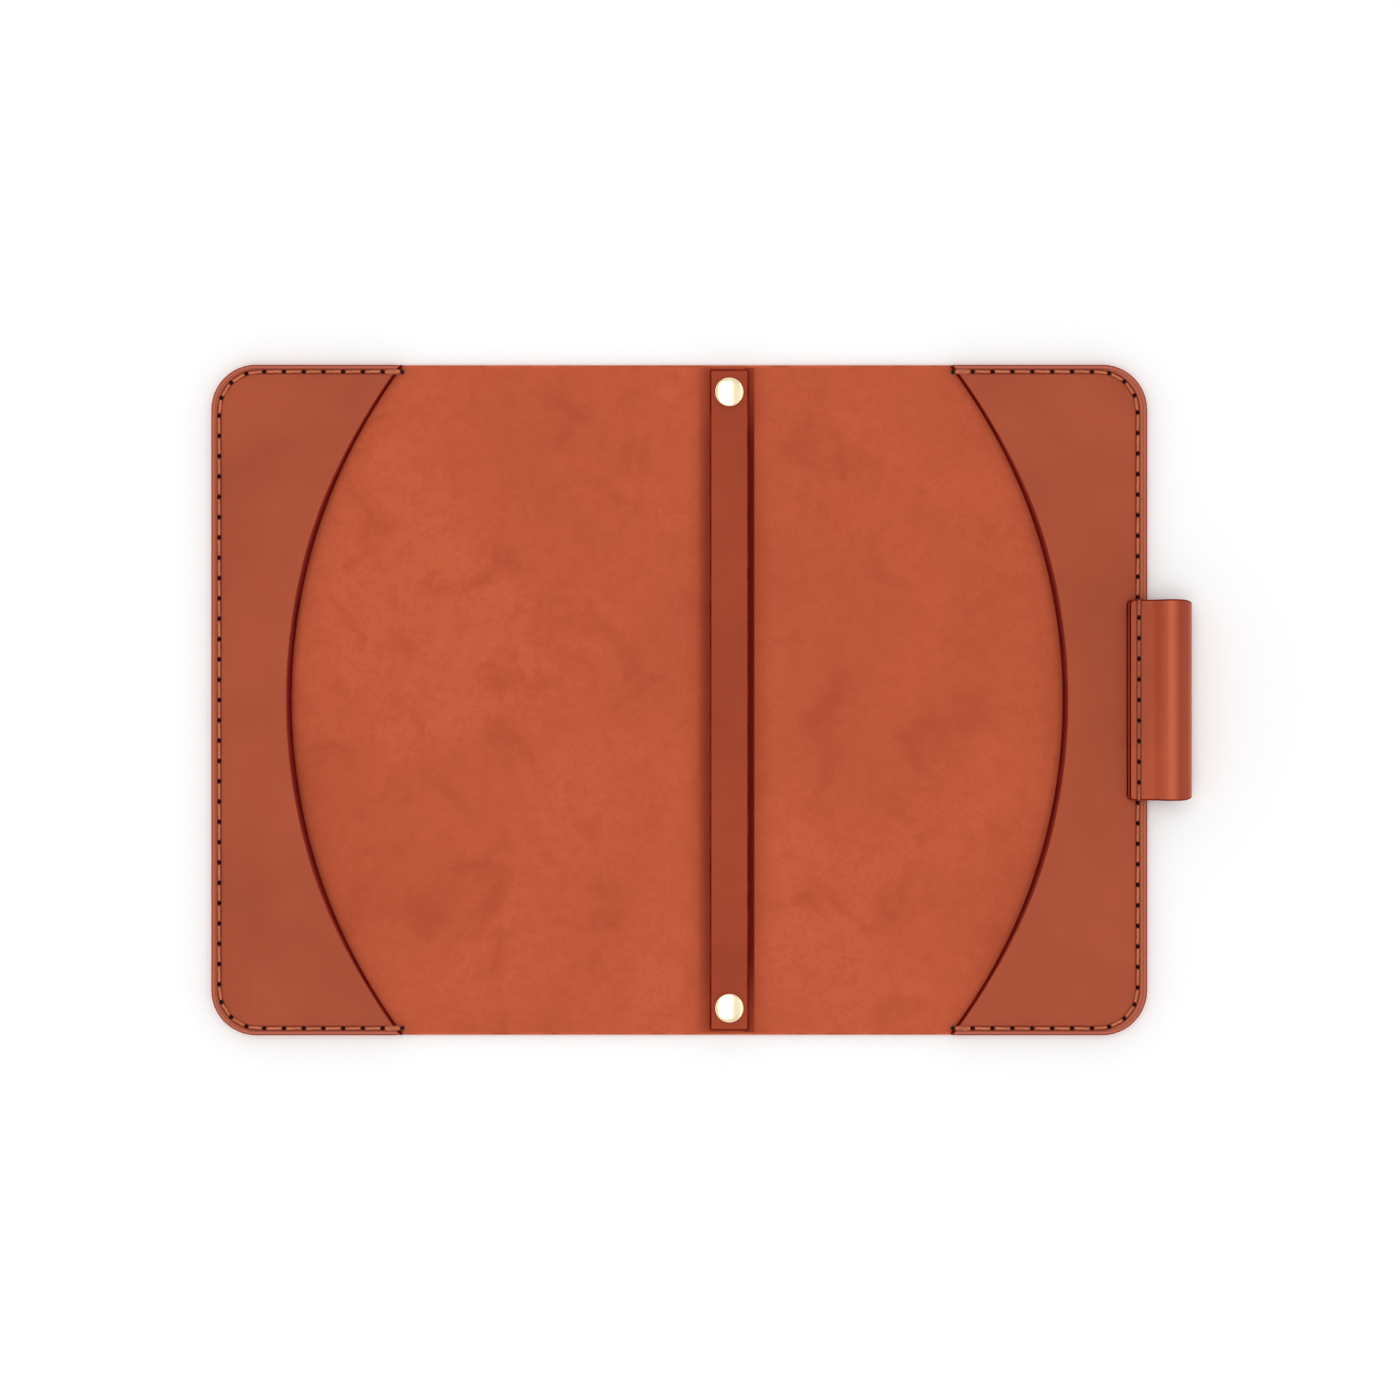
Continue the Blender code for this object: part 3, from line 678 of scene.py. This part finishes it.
def leather_top(half, holes, index):
    """The height of the uppermost leather at a hole. The end holes lie just outside the pocket's mouth."""
    if index in (0, len(holes) - 1):
        return COVER_TOP
    return LOOP_TOP if in_loop(half, holes[index][1]) else POCKET_TOP


def punch_shape(holes, low, high):
    """A flared pin for each hole, narrowest half way up, as points and faces."""
    profile = ((low - 0.0002, 1.25), (low, 1.0), ((low + high) / 2, 0.0), (high, 1.0), (high + 0.0003, 1.35))
    points, faces = [], []
    for x, y, _, _ in holes:
        first = len(points)
        for z, flare in profile:
            radius = HOLE_WAIST + (HOLE_RADIUS - HOLE_WAIST) * flare
            for k in range(HOLE_SIDES):
                angle = 2 * math.pi * k / HOLE_SIDES
                points.append((x + radius * math.cos(angle), y + radius * math.sin(angle), z))
        for ring in range(len(profile) - 1):
            start = first + ring * HOLE_SIDES
            for k in range(HOLE_SIDES):
                a, b = start + k, start + (k + 1) % HOLE_SIDES
                faces.append([a, b, b + HOLE_SIDES, a + HOLE_SIDES])
        last = first + (len(profile) - 1) * HOLE_SIDES
        faces.append([first + k for k in reversed(range(HOLE_SIDES))])
        faces.append([last + k for k in range(HOLE_SIDES)])
    return points, faces


def cut(obj, points, faces, material):
    """Takes a shape out of obj and gives the cut walls a material."""
    cutter = add_mesh("cutter", points, faces)
    slot = len(obj.data.materials)
    obj.data.materials.append(material)
    for _ in range(slot + 1):
        cutter.data.materials.append(material)
    cutter.data.polygons.foreach_set("material_index", [slot] * len(faces))
    boolean = obj.modifiers.new("cut", "BOOLEAN")
    boolean.operation = "DIFFERENCE"
    boolean.solver = "EXACT"
    boolean.object = cutter
    graph = bpy.context.evaluated_depsgraph_get()
    mesh = bpy.data.meshes.new_from_object(obj.evaluated_get(graph))
    obj.modifiers.clear()
    obj.data = mesh
    bpy.data.objects.remove(cutter)
    shade(obj.data)


def punch(obj, holes, low, high, material):
    cut(obj, *punch_shape(holes, low, high), material)


# Tubes, for threads and for the groove that they lie in


def rounded_path(corners, bend, step):
    """Points about a step apart along a path of straight runs whose corners are bent round."""
    points = [corners[0]]
    for before, corner, after in zip(corners, corners[1:], corners[2:]):
        back, ahead = before - corner, after - corner
        reach = min(bend, back.length * 0.48, ahead.length * 0.48)
        start = corner + back.normalized() * reach
        end = corner + ahead.normalized() * reach
        for i in range(7):
            t = i / 6
            points.append(start * (1 - t) ** 2 + corner * 2 * t * (1 - t) + end * t * t)
    points.append(corners[-1])
    spaced = [points[0]]
    for point in points[1:]:
        gap = point - spaced[-1]
        pieces = max(int(gap.length / step + 0.5), 0)
        spaced += [spaced[-1] + gap * ((i + 1) / pieces) for i in range(pieces)]
    return spaced


def tube(name, path, radii, plies=0, twist=1.0):
    """A round tube along a path. With plies, its surface is that of a twisted thread."""
    frame_side = Vector((0.0, 0.0, 1.0)).cross(path[1] - path[0])
    if frame_side.length < 1e-9:
        frame_side = Vector((1.0, 0.0, 0.0))
    points, travelled = [], 0.0
    for i, place in enumerate(path):
        along = (path[min(i + 1, len(path) - 1)] - path[max(i - 1, 0)]).normalized()
        frame_side = (frame_side - along * frame_side.dot(along)).normalized()
        frame_up = along.cross(frame_side)
        if i:
            travelled += (place - path[i - 1]).length
        for k in range(THREAD_SIDES):
            angle = 2 * math.pi * k / THREAD_SIDES
            ridge = 1.0
            if plies:
                ridge += THREAD_RIDGE * math.cos(plies * angle - 2 * math.pi * travelled / twist)
            out = frame_side * math.cos(angle) + frame_up * math.sin(angle)
            points.append(place + out * (radii[i] * ridge))
    faces = []
    for i in range(len(path) - 1):
        for k in range(THREAD_SIDES):
            a, b = i * THREAD_SIDES + k, i * THREAD_SIDES + (k + 1) % THREAD_SIDES
            faces.append([a, b, b + THREAD_SIDES, a + THREAD_SIDES])
    last = (len(path) - 1) * THREAD_SIDES
    faces.append(list(reversed(range(THREAD_SIDES))))
    faces.append([last + k for k in range(THREAD_SIDES)])
    obj = add_mesh(name, points, faces)
    shade(obj.data, 60.0)
    return obj


def thread_pass(half, holes, starts_on_top):
    """The corners of one end of the thread, worked along the seam above and below by turns."""
    corners = []
    for i in range(len(holes) - 1):
        on_top = (i % 2 == 0) == starts_on_top
        above = max(leather_top(half, holes, j) for j in (i, i + 1)) + THREAD_RADIUS - THREAD_SINK
        z = above if on_top else GROOVE_DEPTH / 2
        for j in (i, i + 1):
            x, y, nx, ny = holes[j]
            splay = THREAD_SPLAY if (j % 2 == 0) == starts_on_top else -THREAD_SPLAY
            corners.append(Vector((x + nx * splay, y + ny * splay, z)))
    return corners


def tuck_of(path, holes):
    """How far each point of a thread is tucked into a hole: 0 on the leather, 1 in the hole."""
    centers = np.array([hole[:2] for hole in holes])
    places = np.array([tuple(p)[:2] for p in path])
    apart = np.linalg.norm(places[:, None, :] - centers[None, :, :], axis=2).min(axis=1)
    return smooth_step((TUCK_START - apart) / TUCK_LENGTH)


def sew(name, corners, holes, material, radius=THREAD_RADIUS, darkening=0.0, on_loop=False):
    """A twisted thread along these corners, thinner in its holes and darkened there with painted shade, and
    darkened on the pen loop.
    """
    path = rounded_path(corners, THREAD_BEND, THREAD_STEP)
    tuck = tuck_of(path, holes)
    radii = radius + (min(THREAD_TUCKED_RADIUS, radius) - radius) * tuck
    darkenings = [LOOP_THREAD_DARKENING if on_loop and in_loop(RIGHT, point.y) else darkening for point in path]
    tuck = np.maximum(tuck, darkenings)
    thread = tube(name, path, radii, THREAD_PLIES, THREAD_TWIST)
    attribute = thread.data.attributes.new("tuck", "FLOAT", "POINT")
    attribute.data.foreach_set("value", np.repeat(tuck, THREAD_SIDES).astype(np.float32))
    thread.data.materials.append(material)
    return thread


def make_seam(half, materials, body):
    holes = seam_holes(half)
    corners = thread_pass(half, holes, True) + thread_pass(half, holes, False)[::-1]
    name = f"seam_thread_{half.name}_twisted"
    thread = sew(name, corners, holes, materials["thread"], on_loop=half is RIGHT)
    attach(thread, body)
    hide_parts("seam_thread_" + half.name)
    for end, order in (("top", holes), ("bottom", holes[::-1])):
        make_lock_stitch(half, end, order, materials, body)


def make_lock_stitch(half, end, holes, materials, body):
    """A seam's end: a doubled stitch over the pocket's edge and a turn round the edge of the cover."""
    x, y, _, ny = holes[0]
    toward = holes[1][0] - x
    strand = LOCK_THREAD_RADIUS
    over_pocket = POCKET_TOP + strand - THREAD_SINK
    edge_y = ny * (HALF_HEIGHT + strand * 0.2)
    under = strand * 0.9
    pieces = []
    for label, side in (("inner", -1), ("outer", 1)):
        beside = side * DOUBLED_STITCH_SPREAD * ny
        route = [
            (0.0, 0.0, COVER_TOP * 0.4),
            (0.02, beside * 0.3, over_pocket),
            (0.35, beside, over_pocket),
            (0.70, beside, over_pocket),
            (0.97, beside * 0.2, over_pocket),
            (0.97, 0.0, COVER_TOP),
        ]
        corners = [Vector((x + toward * share, y + offset, z)) for share, offset, z in route]
        pieces.append((f"doubled_stitch_{label}", corners, DOUBLED_STITCH_DARKENING))
    turn = [
        (0.0, y, COVER_TOP * 0.55),
        (0.0, y, COVER_TOP + strand),
        (0.08, edge_y, COVER_TOP + strand * 0.6),
        (0.10, edge_y, under),
        (0.05, y, under),
        (0.02, y, COVER_TOP * 0.45),
    ]
    corners = [Vector((x + toward * share, v, z)) for share, v, z in turn]
    pieces.append(("edge_turn_stitch", corners, EDGE_TURN_DARKENING))
    for label, corners, darkening in pieces:
        name = f"{label}_{half.name}_{end}"
        piece = sew(name, corners, [holes[0], holes[1]], materials["thread"], strand, darkening)
        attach(piece, body)


# Cover


def panel_rows(rim):
    """The y of each row of a panel whose outer corners are round, closer together round the corners."""
    straight = HALF_HEIGHT - CORNER_RADIUS
    arc = (CORNER_RADIUS - rim) * np.sin(np.linspace(0.0, math.pi / 2, 13)[1:])
    top = straight + arc
    return np.concatenate([-top[::-1], spread(-straight, straight, GRID), top])


def outer_edge(y, rim):
    """How far the outer edge lies from the middle of the cover at a height y, less the rim."""
    over = np.maximum(np.abs(y) - (HALF_HEIGHT - CORNER_RADIUS), 0.0)
    inner_radius = CORNER_RADIUS - rim
    return HALF_WIDTH - CORNER_RADIUS + np.sqrt(np.maximum(inner_radius**2 - over**2, 0.0))


def side_grid(half, rows, outer, inner):
    """A grid between an outer and an inner distance from the middle, one pair per row, with x rising."""
    columns = np.concatenate([inner[:, None], outer[:, None]], axis=1)
    count = max(int((outer - inner).max() / GRID + 0.5), 2)
    shares = np.linspace(0.0, 1.0, count + 1)
    distance = columns[:, :1] + (columns[:, 1:] - columns[:, :1]) * shares[None, :]
    x = CENTER_X + half.sign * distance
    y = np.repeat(rows[:, None], count + 1, axis=1)
    grid = np.stack([x, y], axis=2)
    return grid if half.sign > 0 else grid[:, ::-1]


def settle_cover(slab):
    """The inner face waves a little. The outer face stays flat."""
    for point in slab.points:
        point[2] += warp(point[0], point[1]) * point[2] / COVER_TOP


def cover_finishes(materials):
    return {"face": materials["flesh"], "back": materials["outer"], "rim": materials["raw"]}


def make_cover_half(half, materials, body, nodes):
    rows = panel_rows(COVER_RIM)
    fold_edge = FOLD_AXES[0] + FOLD_PITCH / 2 if half is RIGHT else FOLD_AXES[-1] - FOLD_PITCH / 2
    inner = np.full(len(rows), half.sign * (fold_edge - CENTER_X))
    grid = side_grid(half, rows, outer_edge(rows, COVER_RIM), inner)
    slab = make_slab(grid, COVER_TOP, COVER_RIM, {"left" if half is RIGHT else "right"})
    settle_cover(slab)
    cover = add_leather("cover_leather_" + half.name, slab, cover_finishes(materials))
    holes = seam_holes(half)
    cut_groove(cover, holes, materials["burnished"])
    punch(cover, holes, 0.0, COVER_TOP, materials["hole"])
    if half is RIGHT:
        cut_rivet_seats(cover, materials["hole"])
    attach(cover, body)
    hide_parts(*nodes)


def cut_groove(cover, holes, material):
    """The stitching groove in the outer face."""
    path = [Vector((x, y, GROOVE_DEPTH - GROOVE_RADIUS)) for x, y, _, _ in holes]
    path[0] += (path[0] - path[1]).normalized() * GROOVE_RADIUS
    path[-1] += (path[-1] - path[-2]).normalized() * GROOVE_RADIUS
    cutter = tube("groove", path, [GROOVE_RADIUS] * len(path))
    points = [tuple(v.co) for v in cutter.data.vertices]
    faces = [list(p.vertices) for p in cutter.data.polygons]
    bpy.data.objects.remove(cutter)
    cut(cover, points, faces, material)


def cut_rivet_seats(cover, material):
    """Round seats in the outer face for the rivets' bases, and the holes for their posts."""
    for low, high in RIVET_BOXES.values():
        center = (low + high) / 2
        seat = (high.x - low.x) / 2 + SEAT_CLEARANCE
        below, above = -0.001, 0.002
        profile = [
            (0.0, below),
            (seat, below),
            (seat, SEAT_DEPTH),
            (POST_HOLE_RADIUS, SEAT_DEPTH),
            (POST_HOLE_RADIUS, above),
            (0.0, above),
        ]
        points, faces = turned_shape(profile, center.x, center.y)
        cut(cover, points, faces, material)


def make_fold(materials):
    """The leather at the fold: one flat strip for each axis, lying across it."""
    rows = spread(COVER_RIM - HALF_HEIGHT, HALF_HEIGHT - COVER_RIM, GRID)
    for number, axis_x in enumerate(FOLD_AXES, 1):
        low, high = axis_x - FOLD_PITCH / 2, axis_x + FOLD_PITCH / 2
        x, y = np.meshgrid(np.linspace(low, high, FOLD_COLUMNS), rows)
        slab = make_slab(np.stack([x, y], axis=2), COVER_TOP, COVER_RIM, {"left", "right"})
        settle_cover(slab)
        strip = add_leather(f"fold_leather_{number}", slab, cover_finishes(materials))
        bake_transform(strip)
    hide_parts("spine")


# Pockets


def pocket_lift(half, x, y):
    """How far the panel stands off the cover: nothing along its seam, most at the middle of its mouth."""
    distance = half.sign * (x - CENTER_X)
    across = (HALF_WIDTH - POCKET_FLAT_MARGIN - distance) / (half.pocket_depth - POCKET_FLAT_MARGIN)
    along = 1.0 - np.abs(y) / (HALF_HEIGHT - POCKET_FLAT_MARGIN)
    return POCKET_LIFT * smooth_step(across) * smooth_step(2 * along)


def make_pocket(half, materials, body):
    rows = panel_rows(POCKET_RIM)
    mouth = half.sign * (half.mouth_center - CENTER_X)
    inner = mouth + np.sqrt((half.mouth_radius + POCKET_RIM) ** 2 - rows**2)
    grid = side_grid(half, rows, outer_edge(rows, POCKET_RIM), inner)
    slab = make_slab(grid, POCKET_THICKNESS, POCKET_RIM)
    points = slab.points
    points[:, 2] += POCKET_BOTTOM + pocket_lift(half, points[:, 0], points[:, 1])
    for point in points:
        point[2] += warp(point[0], point[1])
    open_side = "left" if half is RIGHT else "right"
    leather = materials["pocket_" + half.name]
    finishes = {"face": leather, "back": materials["flesh"], "rim": leather}
    finishes[open_side] = materials["burnished"]
    pocket = add_leather(f"pocket_{half.name}_leather", slab, finishes)
    punch(pocket, seam_holes(half)[1:-1], POCKET_BOTTOM, POCKET_TOP, materials["hole"])
    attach(pocket, body)
    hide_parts("pocket_" + half.name)


# Keeper strap and rivets


def make_strap(materials):
    left, right = STRAP_LOW.x + STRAP_RIM, STRAP_HIGH.x - STRAP_RIM
    rows = spread(STRAP_LOW.y + STRAP_RIM, STRAP_HIGH.y - STRAP_RIM, GRID / 2)
    x, y = np.meshgrid(spread(left, right, STRAP_GRID), rows)
    slab = make_slab(np.stack([x, y], axis=2), STRAP_THICKNESS, STRAP_RIM)
    bow_end = STRAP_HIGH.y - STRAP_FLAT_END
    middle, half_width = (left + right) / 2, (right - left) / 2
    points = slab.points
    bow = STRAP_BOW * smooth_step(2 * (1.0 - np.abs(points[:, 1]) / bow_end))
    crown = -STRAP_CROWN * ((points[:, 0] - middle) / half_width) ** 2
    points[:, 2] += STRAP_BOTTOM + bow + crown
    finishes = {"face": materials["strap"], "back": materials["flesh"], "rim": materials["trimmed"]}
    strap = add_leather("keeper_strap_leather", slab, finishes)
    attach(strap, "right_half")
    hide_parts("keeper_strap")


def turned_shape(profile, center_x, center_y):
    """A profile of (radius, z) with both ends on a vertical axis, spun about it, as points and faces."""
    points = [(center_x, center_y, profile[0][1])]
    faces = []
    rings = []
    for radius, z in profile[1:-1]:
        rings.append(len(points))
        for k in range(RIVET_SIDES):
            angle = 2 * math.pi * k / RIVET_SIDES
            points.append((center_x + radius * math.cos(angle), center_y + radius * math.sin(angle), z))
    points.append((center_x, center_y, profile[-1][1]))
    for k in range(RIVET_SIDES):
        j = (k + 1) % RIVET_SIDES
        faces.append([0, rings[0] + j, rings[0] + k])
        faces.append([len(points) - 1, rings[-1] + k, rings[-1] + j])
        for lower, upper in zip(rings, rings[1:]):
            faces.append([lower + k, lower + j, upper + j, upper + k])
    return points, faces


def cap_profile(radius):
    """A rivet's cap: a straight wall, a round shoulder and a slightly crowned top."""
    bottom, chamfer = RIVET_BOTTOM, RIVET_CHAMFER
    profile = [(0.0, bottom), (radius - chamfer, bottom), (radius, bottom + chamfer)]
    for degrees in range(0, 78, 11):
        angle = math.radians(degrees)
        out = radius - RIVET_SHOULDER + RIVET_SHOULDER * math.cos(angle)
        profile.append((out, bottom + RIVET_WALL + RIVET_SHOULDER * math.sin(angle)))
    rim_radius, rim_z = profile[-1]
    for step in range(1, CROWN_STEPS):
        share = 1.0 - step / CROWN_STEPS
        profile.append((rim_radius * share, rim_z + RIVET_CROWN * (1.0 - share * share)))
    profile.append((0.0, rim_z + RIVET_CROWN))
    return profile


def post_profile(radius):
    """A rivet's post and the flat base, round at its edge, that it stands on."""
    base_low, post_low, post_high = 0.00005, 0.00055, RIVET_BOTTOM + POST_RISE
    return [
        (0.0, base_low),
        (radius - 0.0003, base_low),
        (radius - 0.00008, 0.00012),
        (radius, 0.0003),
        (radius - 0.0001, 0.0005),
        (POST_RADIUS, post_low),
        (POST_RADIUS, post_high),
        (0.0, post_high),
    ]


def make_rivet(end, materials):
    """A cap on the strap, and a post that goes up into it from its base in the outer face."""
    low, high = RIVET_BOXES[end]
    center = (low + high) / 2
    radius = (high.x - low.x) / 2
    for part, profile in (("cap", cap_profile(radius)), ("post", post_profile(radius))):
        points, faces = turned_shape(profile, center.x, center.y)
        piece = add_mesh(f"rivet_{part}_{end}_brass", points, faces)
        shade(piece.data, 50.0)
        piece.data.materials.append(materials["brass"])
        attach(piece, "right_half")
        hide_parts(f"rivet_{part}_{end}")


# Pen loop


def bezier(controls, count):
    """Points along a cubic curve, without its first one."""
    t = np.linspace(0.0, 1.0, count + 1)[1:, None]
    start, first, second, end = [np.array(c) for c in controls]
    return start * (1 - t) ** 3 + first * 3 * t * (1 - t) ** 2 + second * 3 * t * t * (1 - t) + end * t**3


def loop_centerline():
    """The strip seen end-on, as (x, z): the lower leaf, out round the tube, and back as the upper leaf."""
    top_z, bottom_z = LOOP_HIGH.z - LOOP_THICKNESS / 2, LOOP_LOW.z + LOOP_THICKNESS / 2
    middle_z = (top_z + bottom_z) / 2
    radius_x, radius_z = LOOP_HALF_WIDTH - LOOP_THICKNESS / 2, (top_z - bottom_z) / 2
    center_x = LOOP_HIGH.x - LOOP_HALF_WIDTH
    outside_x = center_x + radius_x
    near_x, far_x = center_x - CIRCLE_PULL * radius_x, center_x + CIRCLE_PULL * radius_x
    under_z, over_z = middle_z - CIRCLE_PULL * radius_z, middle_z + CIRCLE_PULL * radius_z
    throat_x, handle_x = LOOP_THROAT_X, LOOP_THROAT_X + LOOP_THROAT_LENGTH
    low, high = LOOP_LOWER_Z, LOOP_UPPER_Z
    curves = [
        [(throat_x, low), (handle_x, low), (near_x, bottom_z), (center_x, bottom_z)],
        [(center_x, bottom_z), (far_x, bottom_z), (outside_x, under_z), (outside_x, middle_z)],
        [(outside_x, middle_z), (outside_x, over_z), (far_x, top_z), (center_x, top_z)],
        [(center_x, top_z), (near_x, top_z), (handle_x, high), (throat_x, high)],
    ]
    line = [np.array([[LOOP_START_X, low], [throat_x, low]])]
    line += [bezier(controls, CURVE_STEPS) for controls in curves]
    line.append(np.array([[LOOP_START_X + LOOP_UPPER_SETBACK, high]]))
    return np.concatenate(line)


def loop_half_height(along, total):
    """Half the strip's height less its rim, with round corners and a slight waist where it turns back."""
    full = LOOP_HIGH.y - LOOP_RIM
    inner_radius = LOOP_CORNER - LOOP_RIM
    into_corner = np.clip(LOOP_CORNER - np.minimum(along, total - along), 0.0, inner_radius)
    corner = inner_radius - np.sqrt(inner_radius**2 - into_corner**2)
    turning = np.exp(-(((along - total / 2) / LOOP_WAIST_LENGTH) ** 2))
    return full - corner - LOOP_WAIST * turning


def bend_along(points, line, lengths):
    """Bends a flat strip to follow a line of (x, z). lengths says how far along it each of its points is."""
    total = lengths[-1]
    reach = 0.0004

    def place(distance):
        return np.stack([np.interp(distance, lengths, line[:, k]) for k in (0, 1)], axis=1)

    run = np.clip(points[:, 0], 0.0, total)
    above = points[:, 2] - LOOP_THICKNESS / 2
    center = place(run)
    way = place(np.minimum(run + reach, total)) - place(np.maximum(run - reach, 0.0))
    way /= np.linalg.norm(way, axis=1, keepdims=True)
    points[:, 0] = center[:, 0] - way[:, 1] * above
    points[:, 2] = center[:, 1] + way[:, 0] * above


def make_pen_loop(materials):
    """A flat strip with small round corners, bent along the centerline."""
    line = loop_centerline()
    lengths = np.concatenate([[0.0], np.cumsum(np.linalg.norm(np.diff(line, axis=0), axis=1))])
    along = spread(LOOP_RIM, lengths[-1] - LOOP_RIM, LOOP_GRID)
    across = spread(-1.0, 1.0, 0.05)
    half_height = loop_half_height(along, lengths[-1])
    x = np.repeat(along[None, :], len(across), axis=0)
    slab = make_slab(np.stack([x, across[:, None] * half_height], axis=2), LOOP_THICKNESS, LOOP_RIM)
    bend_along(slab.points, line, lengths)
    finishes = {
        "face": materials["flesh"],
        "back": materials["loop"],
        "rim": materials["trimmed"],
        "left": materials["burnished"],
        "right": materials["burnished"],
    }
    loop = add_leather("pen_loop_leather", slab, finishes)
    sewn = [hole for hole in seam_holes(RIGHT) if in_loop(RIGHT, hole[1])]
    punch(loop, sewn, POCKET_TOP, LOOP_TOP, materials["hole"])
    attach(loop, "right_half")
    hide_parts("pen_loop")


# Studio


def add_light(name, x, z, width, power, aim_x=0.0):
    """A light that is long from front to back, turned towards the line at aim_x."""
    data = bpy.data.lights.new(name, "AREA")
    data.shape = "RECTANGLE"
    data.size = width
    data.size_y = LIGHT_LENGTH
    data.energy = power
    light = bpy.data.objects.new(name, data)
    light.location = (x, 0.0, z)
    light.rotation_euler.y = math.atan2(x - aim_x, z)
    bpy.context.scene.collection.objects.link(light)


def make_room():
    """An even white room, brightest low down and a little brighter again overhead."""
    world = bpy.data.worlds.new("studio")
    world.use_nodes = True
    tree = world.node_tree
    place = tree.nodes.new("ShaderNodeTexCoord").outputs["Generated"]
    height = tree.nodes.new("ShaderNodeSeparateXYZ")
    tree.links.new(place, height.inputs[0])
    strength = tree.nodes.new("ShaderNodeValToRGB")
    stops = ((0.30, 1.26), (0.60, 0.66), (0.82, 0.68), (0.93, 0.92))
    while len(strength.color_ramp.elements) < len(stops):
        strength.color_ramp.elements.new(0.5)
    for element, (z, level) in zip(strength.color_ramp.elements, stops):
        element.position = z
        element.color = (level, level, level, 1.0)
    tree.links.new(height.outputs["Z"], strength.inputs[0])
    tree.links.new(strength.outputs["Color"], tree.nodes["Background"].inputs["Color"])
    return world


def make_studio():
    """A white sheet to lie on, a bright room, a softbox overhead to the left and a strip to the right."""
    corners = [(-1, -1), (1, -1), (1, 1), (-1, 1)]
    places = [(x * FLOOR_REACH, y * FLOOR_REACH, -FLOOR_DROP) for x, y in corners]
    floor = add_mesh("floor", places, [[0, 1, 2, 3]])
    graph = Graph("white_paper")
    graph.set("Base Color", (0.94, 0.94, 0.94, 1.0))
    graph.set("Roughness", 0.9)
    floor.data.materials.append(graph.material)
    bpy.context.scene.world = make_room()
    add_light("softbox", -0.15, 1.2, 0.6, 3.7, aim_x=-0.15)
    add_light("strip", 0.52, 1.0, 0.05, 0.5)
    bpy.context.scene.view_settings.view_transform = "Standard"


def make_camera():
    """Straight above, so that the picture is PICTURE_WIDTH wide at the cover's inner face."""
    data = bpy.data.cameras.new("camera")
    data.lens = LENS
    data.sensor_width = SENSOR
    data.clip_start = 0.01
    camera = bpy.data.objects.new("camera", data)
    camera.location = (CAMERA_X, 0.0, PICTURE_WIDTH * LENS / SENSOR + COVER_TOP)
    bpy.context.scene.collection.objects.link(camera)
    bpy.context.scene.camera = camera


def main():
    make_camera()
    make_studio()
    materials = make_materials()
    make_cover_half(RIGHT, materials, "right_half", ["cover_right"])
    make_cover_half(LEFT, materials, "left_half", ["cover_left"])
    make_fold(materials)
    make_pocket(RIGHT, materials, "right_half")
    make_pocket(LEFT, materials, "left_half")
    make_pen_loop(materials)
    make_seam(RIGHT, materials, "right_half")
    make_seam(LEFT, materials, "left_half")
    make_strap(materials)
    for end in RIVET_BOXES:
        make_rivet(end, materials)


main()
